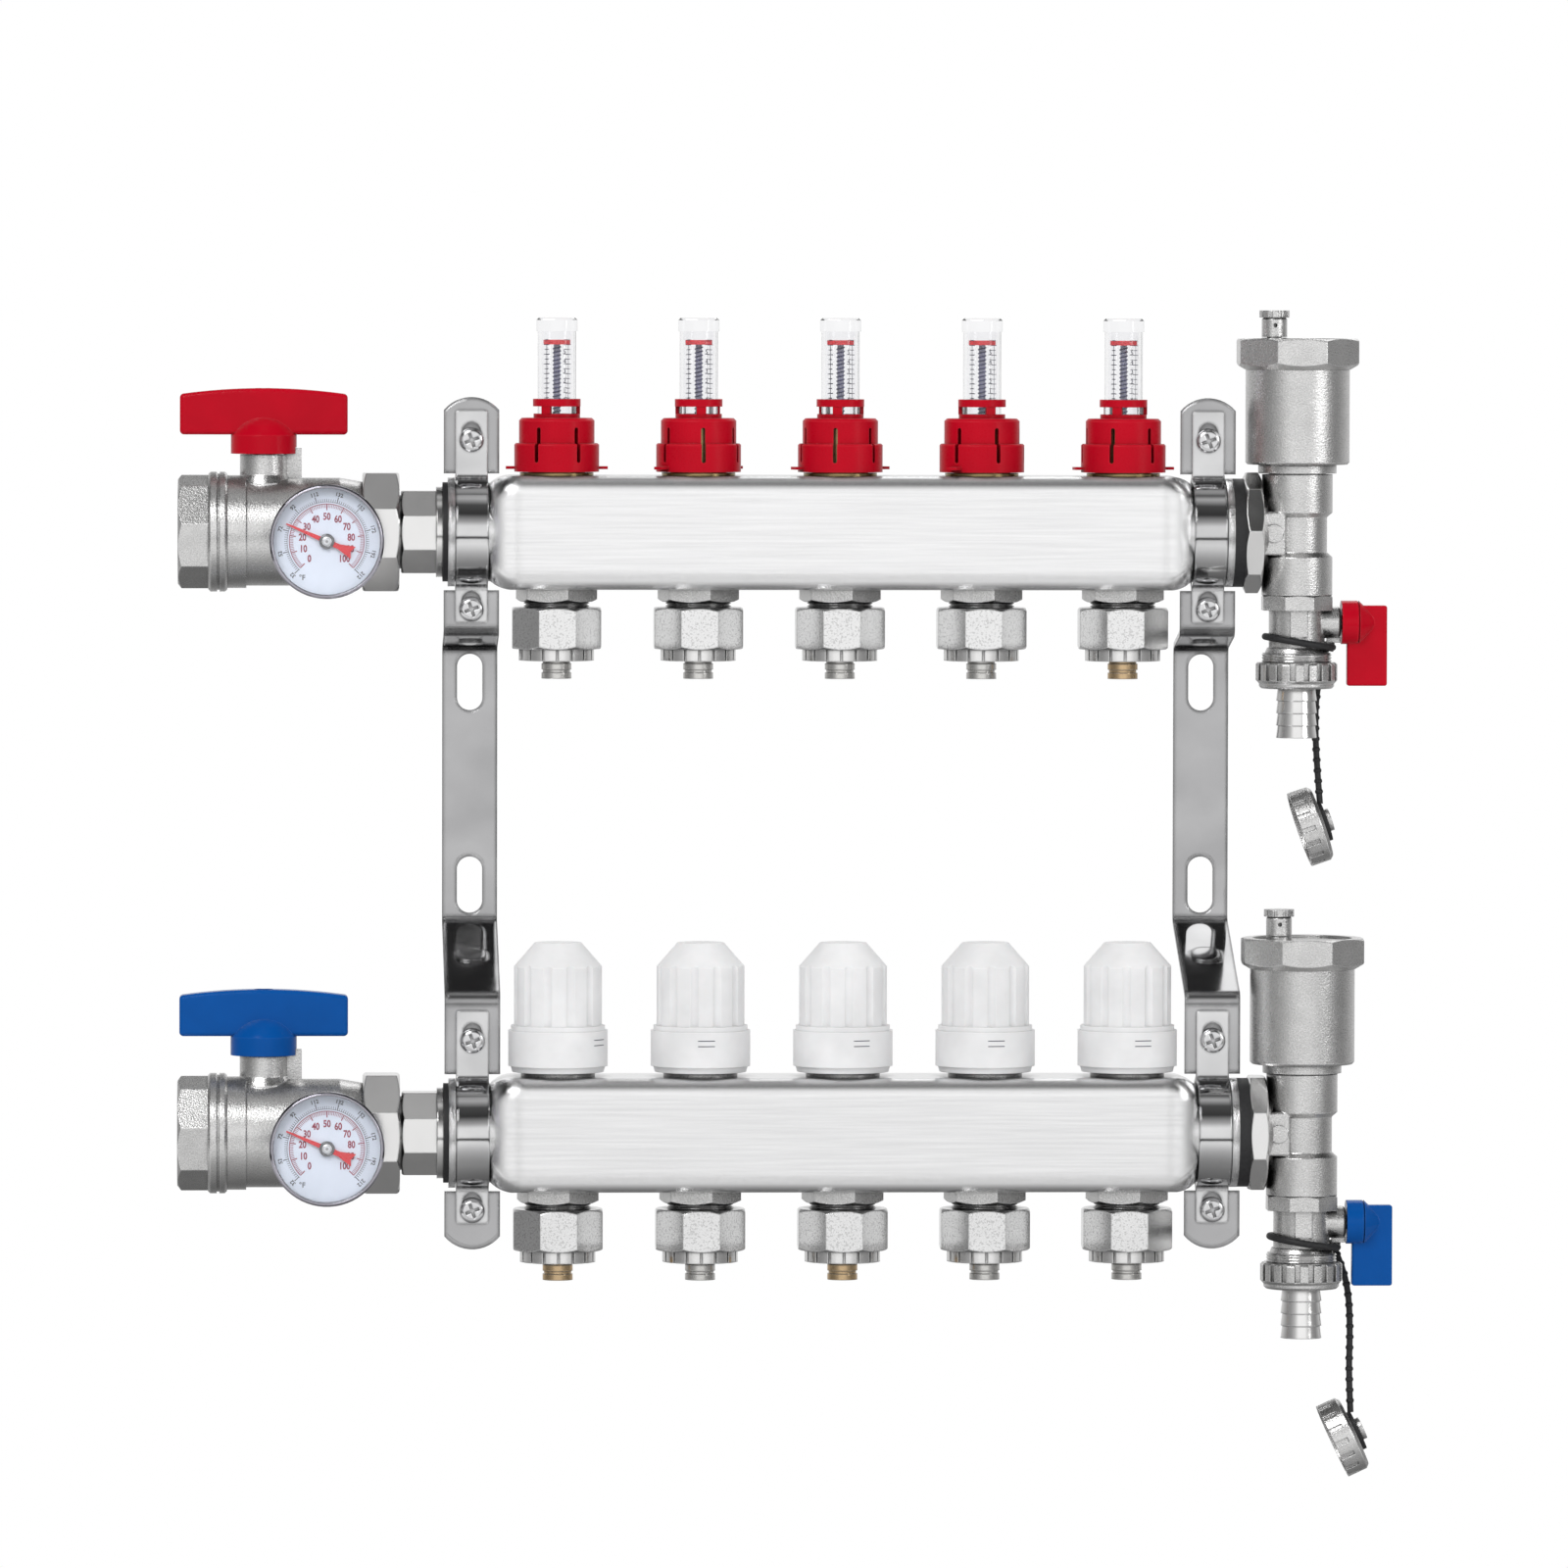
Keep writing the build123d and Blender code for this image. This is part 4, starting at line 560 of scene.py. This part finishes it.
def all_finishes(colours):
    """Every material by its slot name or use."""
    red, blue = tuple(colours.red), tuple(colours.blue)
    return {
        "stainless": brushed_steel("brushed_stainless", tuple(colours.steel)),
        "chrome": plated("chromed_steel", (0.80, 0.80, 0.81), 0.05, sway=0.0002),
        "strap_chrome": plated(
            "chromed_strap", (0.74, 0.74, 0.745), 0.04, sway=0.0005, marks=pressed, rim=0.4,
            fold=0.0012),
        "bracket_chrome": plated(
            "chromed_strip", (0.48, 0.48, 0.485), 0.08, sway=0.0006, marks=pressed, rim=0.15,
            fold=0.0022),
        "gauge_chrome": plated("gauge_case_chrome", (0.42, 0.41, 0.46), 0.07),
        "zinc_screw": plated("zinc_plated_screws", (0.72, 0.72, 0.73), 0.14, 0.2, sway=0.0002),
        "nickel": cast_nickel("cast_nickel", tuple(colours.casting)),
        "nickel_bright": plated("machined_nickel", (0.84, 0.835, 0.83), 0.14, 0.3),
        "nut_nickel": plated(
            "branch_nut_nickel", (0.86, 0.86, 0.86), 0.16, 0.35, marks=speckled),
        "insert_nickel": plated(
            "insert_nickel", (0.70, 0.69, 0.67), 0.18, 0.3, marks=brass_ends),
        "bare_brass": plated("machined_brass", (0.85, 0.62, 0.30), 0.14, 0.2),
        "ball_chrome": plated("chromed_ball", (0.80, 0.80, 0.82), 0.05),
        "black_rubber": rubber("black_rubber"),
        "seat_plastic": moulded("seat_plastic", (0.80, 0.79, 0.75), 0.4),
        "red_paint": moulded("red_handle_paint", red, 0.20, 0.1, 0.12, mirrored=0.3),
        "blue_paint": moulded("blue_handle_paint", blue, 0.20, 0.1, 0.12, mirrored=0.3),
        "red_plastic": moulded("red_collar_plastic", red, 0.30, 0.3, 0.12, mirrored=0.3),
        "white_plastic": moulded(
            "white_cap_plastic", tuple(colours.white), 0.36, 0.3, 0.4, 0.05, 0.35),
        "clear_plastic": clear("clear_tube_plastic", (0.95, 0.95, 0.96)),
        "gauge_glass": clear("gauge_lens", (0.97, 0.98, 1.0), 0.02),
        "dial_face": dial_card("dial_card", tuple(colours.dial)),
        "needle_red": needle_paint("needle_paint", (0.70, 0.02, 0.03), (0.75, 0.75, 0.76)),
        "float_red": float_plastic("float_plastic", (0.60, 0.01, 0.02), (0.20, 0.20, 0.28)),
        "black_ink": ink("black_ink", (0.02, 0.02, 0.03)),
        "navy_wire": plated("navy_spring_wire", (0.05, 0.05, 0.13), 0.3),
        "red_ink": ink("red_ink", (0.30, 0.012, 0.05)),
        "grey_ink": ink("grey_ink", (0.07, 0.07, 0.10)),
    }


# Filled by main, once the colours can be read
finishes = {}


# Mesh makers


def piece_from(name, work, body, look, smooth=0):
    """Makes an object from a bmesh, gives it its finish and lets it ride on a body.

    Faces that meet at less than smooth degrees are shaded as one curved surface.
    """
    mesh = bpy.data.meshes.new(name)
    bmesh.ops.recalc_face_normals(work, faces=work.faces)
    work.to_mesh(mesh)
    work.free()
    mesh.materials.append(finishes[look])
    if smooth:
        mesh.polygons.foreach_set("use_smooth", [True] * len(mesh.polygons))
        mesh.set_sharp_from_angle(angle=radians(smooth))
    piece = bpy.data.objects.new(name, mesh)
    bpy.context.scene.collection.objects.link(piece)
    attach(piece, body)
    return piece


def frame_along(origin, axis):
    """A matrix whose Z runs along axis from origin."""
    turn = Vector(axis).normalized().to_track_quat("Z", "Y")
    return Matrix.Translation(origin) @ turn.to_matrix().to_4x4()


def add_turned(work, profile, matrix, sides):
    """Adds a closed turned ring to a bmesh: profile is (radius, height) corners in order."""
    rings = []
    for i in range(sides):
        turn = 2 * pi * i / sides
        rings.append([
            work.verts.new(matrix @ Vector((r * cos(turn), r * sin(turn), h)))
            for r, h in profile])
    count = len(profile)
    for i in range(sides):
        near, far = rings[i], rings[(i + 1) % sides]
        for j in range(count):
            k = (j + 1) % count
            work.faces.new((near[j], far[j], far[k], near[k]))


def add_thread(work, radius, crest, start, end, pitch, matrix, sides):
    """Adds ridges between start and end, standing off a cylinder towards crest."""
    height = start
    back = radius - (crest - radius) * 0.3
    while height + pitch <= end + 1e-6:
        add_turned(work, [
            (back, height), (radius, height), (crest, height + pitch * 0.42),
            (crest, height + pitch * 0.58), (radius, height + pitch), (back, height + pitch),
        ], matrix, sides)
        height += pitch


def add_patch(work, matrix, radius, middle, half_width, low, high, thickness):
    """Adds a thin curved tile on a cylinder about +Z: middle and half_width are angles."""
    steps = max(1, int(degrees(2 * half_width) / 6))
    angles = [middle - half_width + 2 * half_width * i / steps for i in range(steps + 1)]
    rows = []
    for level, r in ((low, radius), (high, radius), (high, radius + thickness),
                     (low, radius + thickness)):
        rows.append([
            work.verts.new(matrix @ Vector((r * cos(a), r * sin(a), level))) for a in angles])
    for i in range(steps):
        for j in range(4):
            k = (j + 1) % 4
            work.faces.new((rows[j][i], rows[k][i], rows[k][i + 1], rows[j][i + 1]))
    for i in (0, steps):
        work.faces.new([row[i] for row in rows])


def add_plate(work, matrix, outline, thickness):
    """Adds a flat plate: outline lies in XY, and the plate rises along Z."""
    low = [work.verts.new(matrix @ Vector((x, y, 0))) for x, y in outline]
    high = [work.verts.new(matrix @ Vector((x, y, thickness))) for x, y in outline]
    work.faces.new(low)
    work.faces.new(high)
    for i in range(len(outline)):
        j = (i + 1) % len(outline)
        work.faces.new((low[i], low[j], high[j], high[i]))


def add_tick(work, matrix, turn, inner, outer, width, thickness):
    """Adds a straight dial mark from the inner to the outer radius."""
    local = matrix @ Matrix.Rotation(turn, 4, "Z")
    half = width / 2
    outline = [(inner, -half), (outer, -half), (outer, half), (inner, half)]
    add_plate(work, local, outline, thickness)


def add_arc_plate(work, matrix, inner, outer, start, end, thickness):
    """Adds a flat arc between two angles, in steps of about three degrees."""
    steps = max(2, int(abs(degrees(end - start)) / 3))
    angles = [start + (end - start) * i / steps for i in range(steps + 1)]
    for a, b in zip(angles, angles[1:]):
        add_plate(work, matrix, [
            (inner * cos(a), inner * sin(a)), (outer * cos(a), outer * sin(a)),
            (outer * cos(b), outer * sin(b)), (inner * cos(b), inner * sin(b))], thickness)


def add_text(work, words, matrix, height, thickness, weight=0.0):
    """Adds printed figures, centred on the matrix's origin and facing its Z."""
    curve = bpy.data.curves.new("figures", "FONT")
    curve.body = words
    curve.size = height * 1.37  # the font's size over the height of its figures
    curve.align_x = "CENTER"
    curve.align_y = "CENTER"
    curve.extrude = thickness / 2
    curve.offset = weight
    curve.resolution_u = 3
    holder = bpy.data.objects.new("figures", curve)
    bpy.context.scene.collection.objects.link(holder)
    bpy.context.view_layer.update()
    mesh = bpy.data.meshes.new_from_object(holder)
    mesh.transform(matrix @ Matrix.Translation((0, 0, thickness / 2)))
    work.from_mesh(mesh)
    bpy.data.objects.remove(holder)
    bpy.data.curves.remove(curve)
    bpy.data.meshes.remove(mesh)


def add_spring(work, matrix, low, high, radius, pitch, wire):
    """Adds a helix of round wire between two heights."""
    per_turn, around = 24, 8
    turns = (high - low) / pitch
    steps = int(turns * per_turn)
    rows = []
    for i in range(steps + 1):
        turn = 2 * pi * i / per_turn
        centre = Vector((radius * cos(turn), radius * sin(turn), low + pitch * i / per_turn))
        outwards = Vector((cos(turn), sin(turn), 0))
        rows.append([
            work.verts.new(matrix @ (
                centre + outwards * (wire / 2 * cos(a)) + Vector((0, 0, wire / 2 * sin(a)))))
            for a in (2 * pi * j / around for j in range(around))])
    for near, far in zip(rows, rows[1:]):
        for j in range(around):
            k = (j + 1) % around
            work.faces.new((near[j], far[j], far[k], near[k]))
    work.faces.new(rows[0])
    work.faces.new(rows[-1])


def curve_points(curve_object):
    """Points along a curve object's own line, in order."""
    held = curve_object.data.bevel_depth
    curve_object.data.bevel_depth = 0
    bpy.context.view_layer.update()
    line = bpy.data.meshes.new_from_object(curve_object)
    curve_object.data.bevel_depth = held
    points = [v.co.copy() for v in line.vertices]
    bpy.data.meshes.remove(line)
    return points


def along(points, distance):
    """The point and direction at a distance along points."""
    for a, b in zip(points, points[1:]):
        step = (b - a).length
        if distance <= step:
            return a.lerp(b, distance / step), (b - a).normalized()
        distance -= step
    return points[-1], (points[-1] - points[-2]).normalized()


# Stage


class MANIFOLD_OT_stage(Operator):
    """Places the camera, the pale floor, the soft lamps and the surrounding light"""

    bl_idname = "manifold.stage"
    bl_label = "Set the stage"

    def execute(self, context):
        stage = context.scene.manifold_stage
        place_camera(stage)
        hang_lamps(stage)
        paint_sky(stage)
        lay_floor()
        return {"FINISHED"}


def place_camera(stage):
    data = bpy.data.cameras.new("photo_camera")
    data.lens = stage.lens
    data.sensor_width = 36.0
    data.clip_end = 50.0
    camera = bpy.data.objects.new("photo_camera", data)
    bpy.context.scene.collection.objects.link(camera)
    camera.location = Vector((CAMERA_X, -stage.distance, CAMERA_Z))
    level = (CAMERA_AIM - camera.location).to_track_quat("-Z", "Y")
    camera.rotation_euler = (level @ Quaternion((0, 0, 1), stage.roll)).to_euler()
    bpy.context.scene.camera = camera
    bpy.context.scene.view_settings.view_transform = "Standard"


def hang_lamps(stage):
    """Soft round lamps, all turned to the middle of the manifold."""
    for name, spot, power, share, diameter in LAMPS:
        data = bpy.data.lights.new(name, "AREA")
        data.energy = getattr(stage, power) * share
        data.shape = "DISK"
        data.size = diameter
        lamp = bpy.data.objects.new(name, data)
        bpy.context.scene.collection.objects.link(lamp)
        lamp.location = spot
        lamp.rotation_euler = (-Vector(spot)).to_track_quat("-Z", "Y").to_euler()


def paint_sky(stage):
    """White to the camera and through glass, banded to bright metal, and plain as a light."""
    world = bpy.data.worlds.new("studio")
    bpy.context.scene.world = world
    world.use_nodes = True
    m = Maker(world.node_tree)
    x, y, z = m.parts(m.node("ShaderNodeTexCoord", output="Generated"), "XYZ")
    rise = m.math("ARCSINE", z)
    turn = m.math("ABSOLUTE", m.math("ARCTAN2", x, 0 - y))
    band = m.ramp(
        m.between(rise, -pi / 2, pi / 2), [(0.5 + up / 180, level) for up, level in SKY_BANDS])
    side = m.ramp(m.between(turn, 0.0, pi), [(aside / 180, share) for aside, share in SKY_SIDES])
    mirrored = m.light("Background", m.mix(1.0, band, side, "MULTIPLY"))
    soft = m.light("Background", strength=stage.ambient)
    seen = m.mix_shaders(m.ray("Glossy"), soft, mirrored)
    m.close(m.mix_shaders(
        m.ray("Camera") + m.ray("Transmission"), seen, m.light("Background")), "World")


def lay_floor():
    """A round pale cloth that takes the manifold's shadow."""
    work = bmesh.new()
    bmesh.ops.create_circle(work, cap_ends=True, radius=FLOOR_RADIUS, segments=96)
    mesh = bpy.data.meshes.new("pale_floor")
    work.to_mesh(mesh)
    work.free()
    floor = bpy.data.objects.new("pale_floor", mesh)
    floor.location.z = FLOOR_Z
    bpy.context.scene.collection.objects.link(floor)
    material, m = new_material("pale_floor")
    cloud = m.noise(3.0, 3.0)
    tone = m.mix(m.between(cloud, 0.3, 0.7), (0.82, 0.82, 0.83), (0.86, 0.86, 0.87))
    cloth = m.principled(colour=tone, roughness=0.9)
    bright, dark = m.light("Emission"), m.light("Emission", (0, 0, 0))
    x, y = m.parts(m.place(), "XY")
    behind = m.between(y, -0.25, 0.25, 1.0, 0.4)
    level = m.ramp(m.between(m.away(x, y), 0.0, FLOOR_RADIUS), FLOOR_RINGS) * behind
    seen = m.mix_shaders(m.ray("Glossy"), cloth, m.mix_shaders(level, dark, bright))
    m.close(m.mix_shaders(m.ray("Camera") * 0.8 + m.ray("Transmission"), seen, bright))
    mesh.materials.append(material)


# Pieces


class MANIFOLD_OT_cap_straps(Operator):
    """Hangs the beaded straps that hold the drain caps"""

    bl_idname = "manifold.cap_straps"
    bl_label = "Hang the cap straps"

    def execute(self, context):
        sizes = context.scene.manifold_sizes
        for name, route in STRAP_ROUTES.items():
            strap = bpy.data.objects.new(f"{name}_strap", strap_curve(f"{name}_strap", route))
            context.scene.collection.objects.link(strap)
            strap.data.materials.append(finishes["black_rubber"])
            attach(strap, "root")
            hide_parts(f"{name}_cap_strap")
            beads = beads_on(curve_points(strap), sizes.bead_pitch, sizes.bead_diameter)
            bead_row = piece_from(
                f"{name}_strap_beads", beads, "root", "black_rubber", 60.0)
        return {"FINISHED"}


def strap_curve(name, route):
    """A round tube along a smooth line. The points' radius holds its thickness."""
    data = bpy.data.curves.new(name, "CURVE")
    data.dimensions = "3D"
    data.bevel_depth = 1.0
    data.bevel_resolution = 4
    data.resolution_u = 16
    data.use_fill_caps = True
    spline = data.splines.new("NURBS")
    spline.points.add(len(route) - 1)
    for point, spot in zip(spline.points, route):
        point.co = (*spot, 1)
        point.radius = STRAP_DIAMETER / 2
    spline.order_u = 3
    spline.use_endpoint_u = True
    return data


def beads_on(line, pitch, diameter):
    """Slightly flattened beads, one every pitch along a line."""
    length = sum((b - a).length for a, b in zip(line, line[1:]))
    beads = bmesh.new()
    for i in range(int((length - STRAP_BARE_END) / pitch)):
        spot, heading = along(line, STRAP_BARE_END + pitch * (i + 0.5))
        bmesh.ops.create_uvsphere(
            beads, u_segments=20, v_segments=12, radius=diameter / 2,
            matrix=frame_along(spot, heading) @ Matrix.Diagonal((1, 1, 0.85, 1)))
    return beads


class MANIFOLD_OT_finish_frame(Operator):
    """Gives every carried-over solid its own finish"""

    bl_idname = "manifold.finish_frame"
    bl_label = "Finish the frame"

    def execute(self, context):
        slots = {row["node"]: row["material_slot"] for row in frame["record"]["subparts"]}
        own = {
            "left_bracket": "bracket_chrome", "right_bracket": "bracket_chrome",
            "clamp_straps": "strap_chrome", "branch_nuts": "nut_nickel",
            "gauge_cases": "gauge_chrome", "pipe_inserts": "insert_nickel"}
        for name, node in frame["nodes"].items():
            if name not in slots:
                raise RuntimeError(f"no material slot names {name}")
            node.data.materials.clear()
            node.data.materials.append(finishes[own.get(name, slots[name])])
        return {"FINISHED"}


class MANIFOLD_OT_dial_prints(Operator):
    """Prints the scales and figures on both gauge dials, and adds the needles' hubs"""

    bl_idname = "manifold.dial_prints"
    bl_label = "Print the dials"

    def execute(self, context):
        ink_height = context.scene.manifold_sizes.print_height
        for name, axis in BARS.items():
            red, black, hub = bmesh.new(), bmesh.new(), bmesh.new()
            print_red_scale(red, facing_out(axis, DIAL_Y), ink_height)
            print_black_scale(black, facing_out(axis, DIAL_Y), ink_height)
            add_turned(hub, [
                (0.0004, -0.0004), (0.0027, -0.0004), (0.0027, 0.0001), (0.0023, 0.0004),
                (0.0017, 0.0004), (0.0015, 0.0001), (0.0011, 0.0001), (0.0009, 0.0003),
                (0.0004, 0.0002)], facing_out(axis, HUB_Y), 48)
            piece_from(f"{name}_needle_hub", hub, f"{name}_gauge_needle", "chrome", 30.0)
            piece_from(f"{name}_dial_red_print", red, "root", "red_ink")
            piece_from(f"{name}_dial_black_print", black, "root", "black_ink")
        return {"FINISHED"}


# Both scales start at the lower left. Angles are in degrees, anticlockwise from the right.
DIAL_START = 225
RED_DEGREE = 2.7  # turn of the needle for 1 degree of the red scale, 0 to 100
BLACK_STEP = 3.0  # turn of the needle for 2 degrees of the black scale, 32 to 212


def facing_out(axis, y):
    """A matrix at a gauge's axis whose Z comes out of the wall."""
    spot = axis + Vector((GAUGE_X, y, -GAUGE_DROP))
    return Matrix.Translation(spot) @ Matrix.Rotation(pi / 2, 4, "X")


def print_red_scale(red, matrix, ink_height):
    """Ticks inside a ring, every tenth longer and with upright narrow figures."""
    for value in range(101):
        inner, width = (0.0109, 0.00036) if value % 10 == 0 else (0.0117, 0.00018)
        turn = radians(DIAL_START - RED_DEGREE * value)
        add_tick(red, matrix, turn, inner, 0.0130, width, ink_height)
    add_arc_plate(red, matrix, 0.01295, 0.01318, radians(-45), radians(225), ink_height)
    for value in range(0, 101, 10):
        turn = radians(DIAL_START - RED_DEGREE * value)
        spot = Matrix.Translation((0.0086 * cos(turn), 0.0086 * sin(turn), 0))
        narrow = Matrix.Diagonal((0.76, 1, 1, 1))
        add_text(red, str(value), matrix @ spot @ narrow, 0.0025, ink_height, 0.0001)


def print_black_scale(black, matrix, ink_height):
    """Ticks outside a thin ring, every tenth longer and with small figures turned to it."""
    add_arc_plate(black, matrix, 0.01372, 0.01386, radians(-47), radians(227), ink_height)
    for step in range(91):
        outer, width = (0.0158, 0.00028) if step % 10 == 0 else (0.0148, 0.00016)
        turn = radians(DIAL_START - BLACK_STEP * step)
        add_tick(black, matrix, turn, 0.0138, outer, width, ink_height)
    for step in range(0, 91, 10):
        turn = radians(DIAL_START - BLACK_STEP * step)
        spot = Matrix.Rotation(turn - pi / 2, 4, "Z") @ Matrix.Translation((0, 0.0167, 0))
        add_text(black, str(32 + 2 * step), matrix @ spot, 0.0014, ink_height, 0.00004)
    spot = Matrix.Translation((-0.0086, -0.0127, 0))
    add_text(black, "°F", matrix @ spot, 0.0019, ink_height, 0.00003)


class MANIFOLD_OT_meter_parts(Operator):
    """Adds the springs and the printed scales of the flow meters"""

    bl_idname = "manifold.meter_parts"
    bl_label = "Fit the meters"

    def execute(self, context):
        sizes = context.scene.manifold_sizes
        for i, x in enumerate(BRANCH_XS):
            foot = Matrix.Translation(BARS["supply"] + Vector((x, 0, BAR_TOP)))
            spring, scale = bmesh.new(), bmesh.new()
            add_spring(
                spring, foot, 0.0172, 0.0452, 0.00128, sizes.spring_pitch, sizes.spring_wire)
            piece_from(
                f"meter_spring_{i + 1}", spring, f"float_{i + 1}", "navy_wire", 60.0)
            print_meter_scale(scale, foot)
            piece_from(f"meter_scale_{i + 1}", scale, "root", "grey_ink")
        return {"FINISHED"}


# Prints on a sight tube: radius of the tube's skin, thickness, and heights over the bar's top
TUBE_SKIN = 0.00669
TUBE_INK = 0.00006
SCALE_FOOT, SCALE_STEP = 0.0255, 0.0017


def print_meter_scale(scale, foot):
    """Four upright lines with ticks round a sight tube, and figures beside one of them."""
    for side in (radians(-125), radians(-55), radians(55), radians(125)):
        for step in range(14):
            level = SCALE_FOOT + SCALE_STEP * step
            half = 0.17 if step % 2 == 0 else 0.11
            add_patch(scale, foot, TUBE_SKIN, side, half, level, level + 0.00022, TUBE_INK)
        add_patch(scale, foot, TUBE_SKIN, side, 0.010, 0.0245, 0.0460, TUBE_INK)
    upright = Matrix.Rotation(pi / 2, 4, "Z") @ Matrix.Rotation(pi / 2, 4, "X")
    for figure in range(6):
        level = SCALE_FOOT + 0.001 + 2 * SCALE_STEP * figure
        spot = Matrix.Rotation(radians(-68), 4, "Z") @ Matrix.Translation(
            (TUBE_SKIN + 0.00003, 0, level))
        add_text(scale, str(figure), foot @ spot @ upright, 0.0016, TUBE_INK)


class MANIFOLD_OT_threads(Operator):
    """Adds the visible threads of the drains, inlets and branch nipples"""

    bl_idname = "manifold.threads"
    bl_label = "Add the threads"

    def execute(self, context):
        sizes = context.scene.manifold_sizes
        sides, pitch = sizes.sides, sizes.thread_pitch
        downwards = Matrix.Rotation(pi, 4, "X")
        drains, inlets, necks = bmesh.new(), bmesh.new(), bmesh.new()
        for axis in BARS.values():
            drain = Matrix.Translation(axis + Vector((TEE_X, 0, -TEE_DROP))) @ downwards
            add_thread(drains, 0.0119, 0.0124, 0.0206, 0.0238, pitch * 0.75, drain, sides)
            inlet = Matrix.Translation(axis) @ Matrix.Rotation(-pi / 2, 4, "Y")
            add_thread(inlets, 0.0154, 0.0147, 0.2162, 0.2272, pitch, inlet, sides)
            for x in BRANCH_XS:
                neck = Matrix.Translation(axis + Vector((x, 0, -BAR_TOP))) @ downwards
                add_thread(necks, 0.0107, 0.0116, 0.0045, 0.0065, pitch * 0.7, neck, sides)
        for name, work in (("drain", drains), ("inlet", inlets), ("nipple", necks)):
            piece_from(f"{name}_threads", work, "root", "nickel_bright", 20.0)
        return {"FINISHED"}


class MANIFOLD_OT_cap_marks(Operator):
    """Marks the rings of the white valve caps"""

    bl_idname = "manifold.cap_marks"
    bl_label = "Mark the valve caps"

    def execute(self, context):
        turns = (40, -10, 5, -5, 0)  # how far each cap stands from the first place, in degrees
        for i, x in enumerate(BRANCH_XS):
            matrix = Matrix.Translation(BARS["return"] + Vector((x, 0, BAR_TOP)))
            marks = bmesh.new()
            for side in (0, 180):
                middle = radians(-75 + turns[i] + side)
                for level in (0.0112, 0.0131):
                    add_patch(
                        marks, matrix, 0.01742, middle, 0.17, level, level + 0.0003, 0.00008)
            piece_from(f"cap_mark_{i + 1}", marks, f"knob_{i + 1}", "grey_ink")
        return {"FINISHED"}


class MANIFOLD_PT_sidebar(Panel):
    """Lists the manifold's sizes, colours and makers"""

    bl_idname = "MANIFOLD_PT_sidebar"
    bl_label = "Heating manifold"
    bl_space_type = "VIEW_3D"
    bl_region_type = "UI"
    bl_category = "Manifold"

    def draw(self, context):
        for operator in OPERATORS:
            self.layout.operator(operator.bl_idname)
        for group in GROUPS:
            settings = getattr(context.scene, group)
            for name in settings.__annotations__:
                self.layout.prop(settings, name)


OPERATORS = (
    MANIFOLD_OT_stage,
    MANIFOLD_OT_cap_straps,
    MANIFOLD_OT_finish_frame,
    MANIFOLD_OT_dial_prints,
    MANIFOLD_OT_meter_parts,
    MANIFOLD_OT_threads,
    MANIFOLD_OT_cap_marks,
)
GROUPS = {
    "manifold_sizes": ManifoldSizes,
    "manifold_colours": ManifoldColours,
    "manifold_stage": ManifoldStage,
}


def register():
    for group in GROUPS.values():
        bpy.utils.register_class(group)
    for name, group in GROUPS.items():
        setattr(bpy.types.Scene, name, PointerProperty(type=group))
    for operator in OPERATORS:
        bpy.utils.register_class(operator)
    bpy.utils.register_class(MANIFOLD_PT_sidebar)


def unregister():
    bpy.utils.unregister_class(MANIFOLD_PT_sidebar)
    for operator in reversed(OPERATORS):
        bpy.utils.unregister_class(operator)
    for name in GROUPS:
        delattr(bpy.types.Scene, name)
    for group in reversed(list(GROUPS.values())):
        bpy.utils.unregister_class(group)


def main():
    register()
    finishes.update(all_finishes(bpy.context.scene.manifold_colours))
    for operator in OPERATORS:
        group, call = operator.bl_idname.split(".")
        getattr(getattr(bpy.ops, group), call)()


if __name__ == "__main__":
    main()
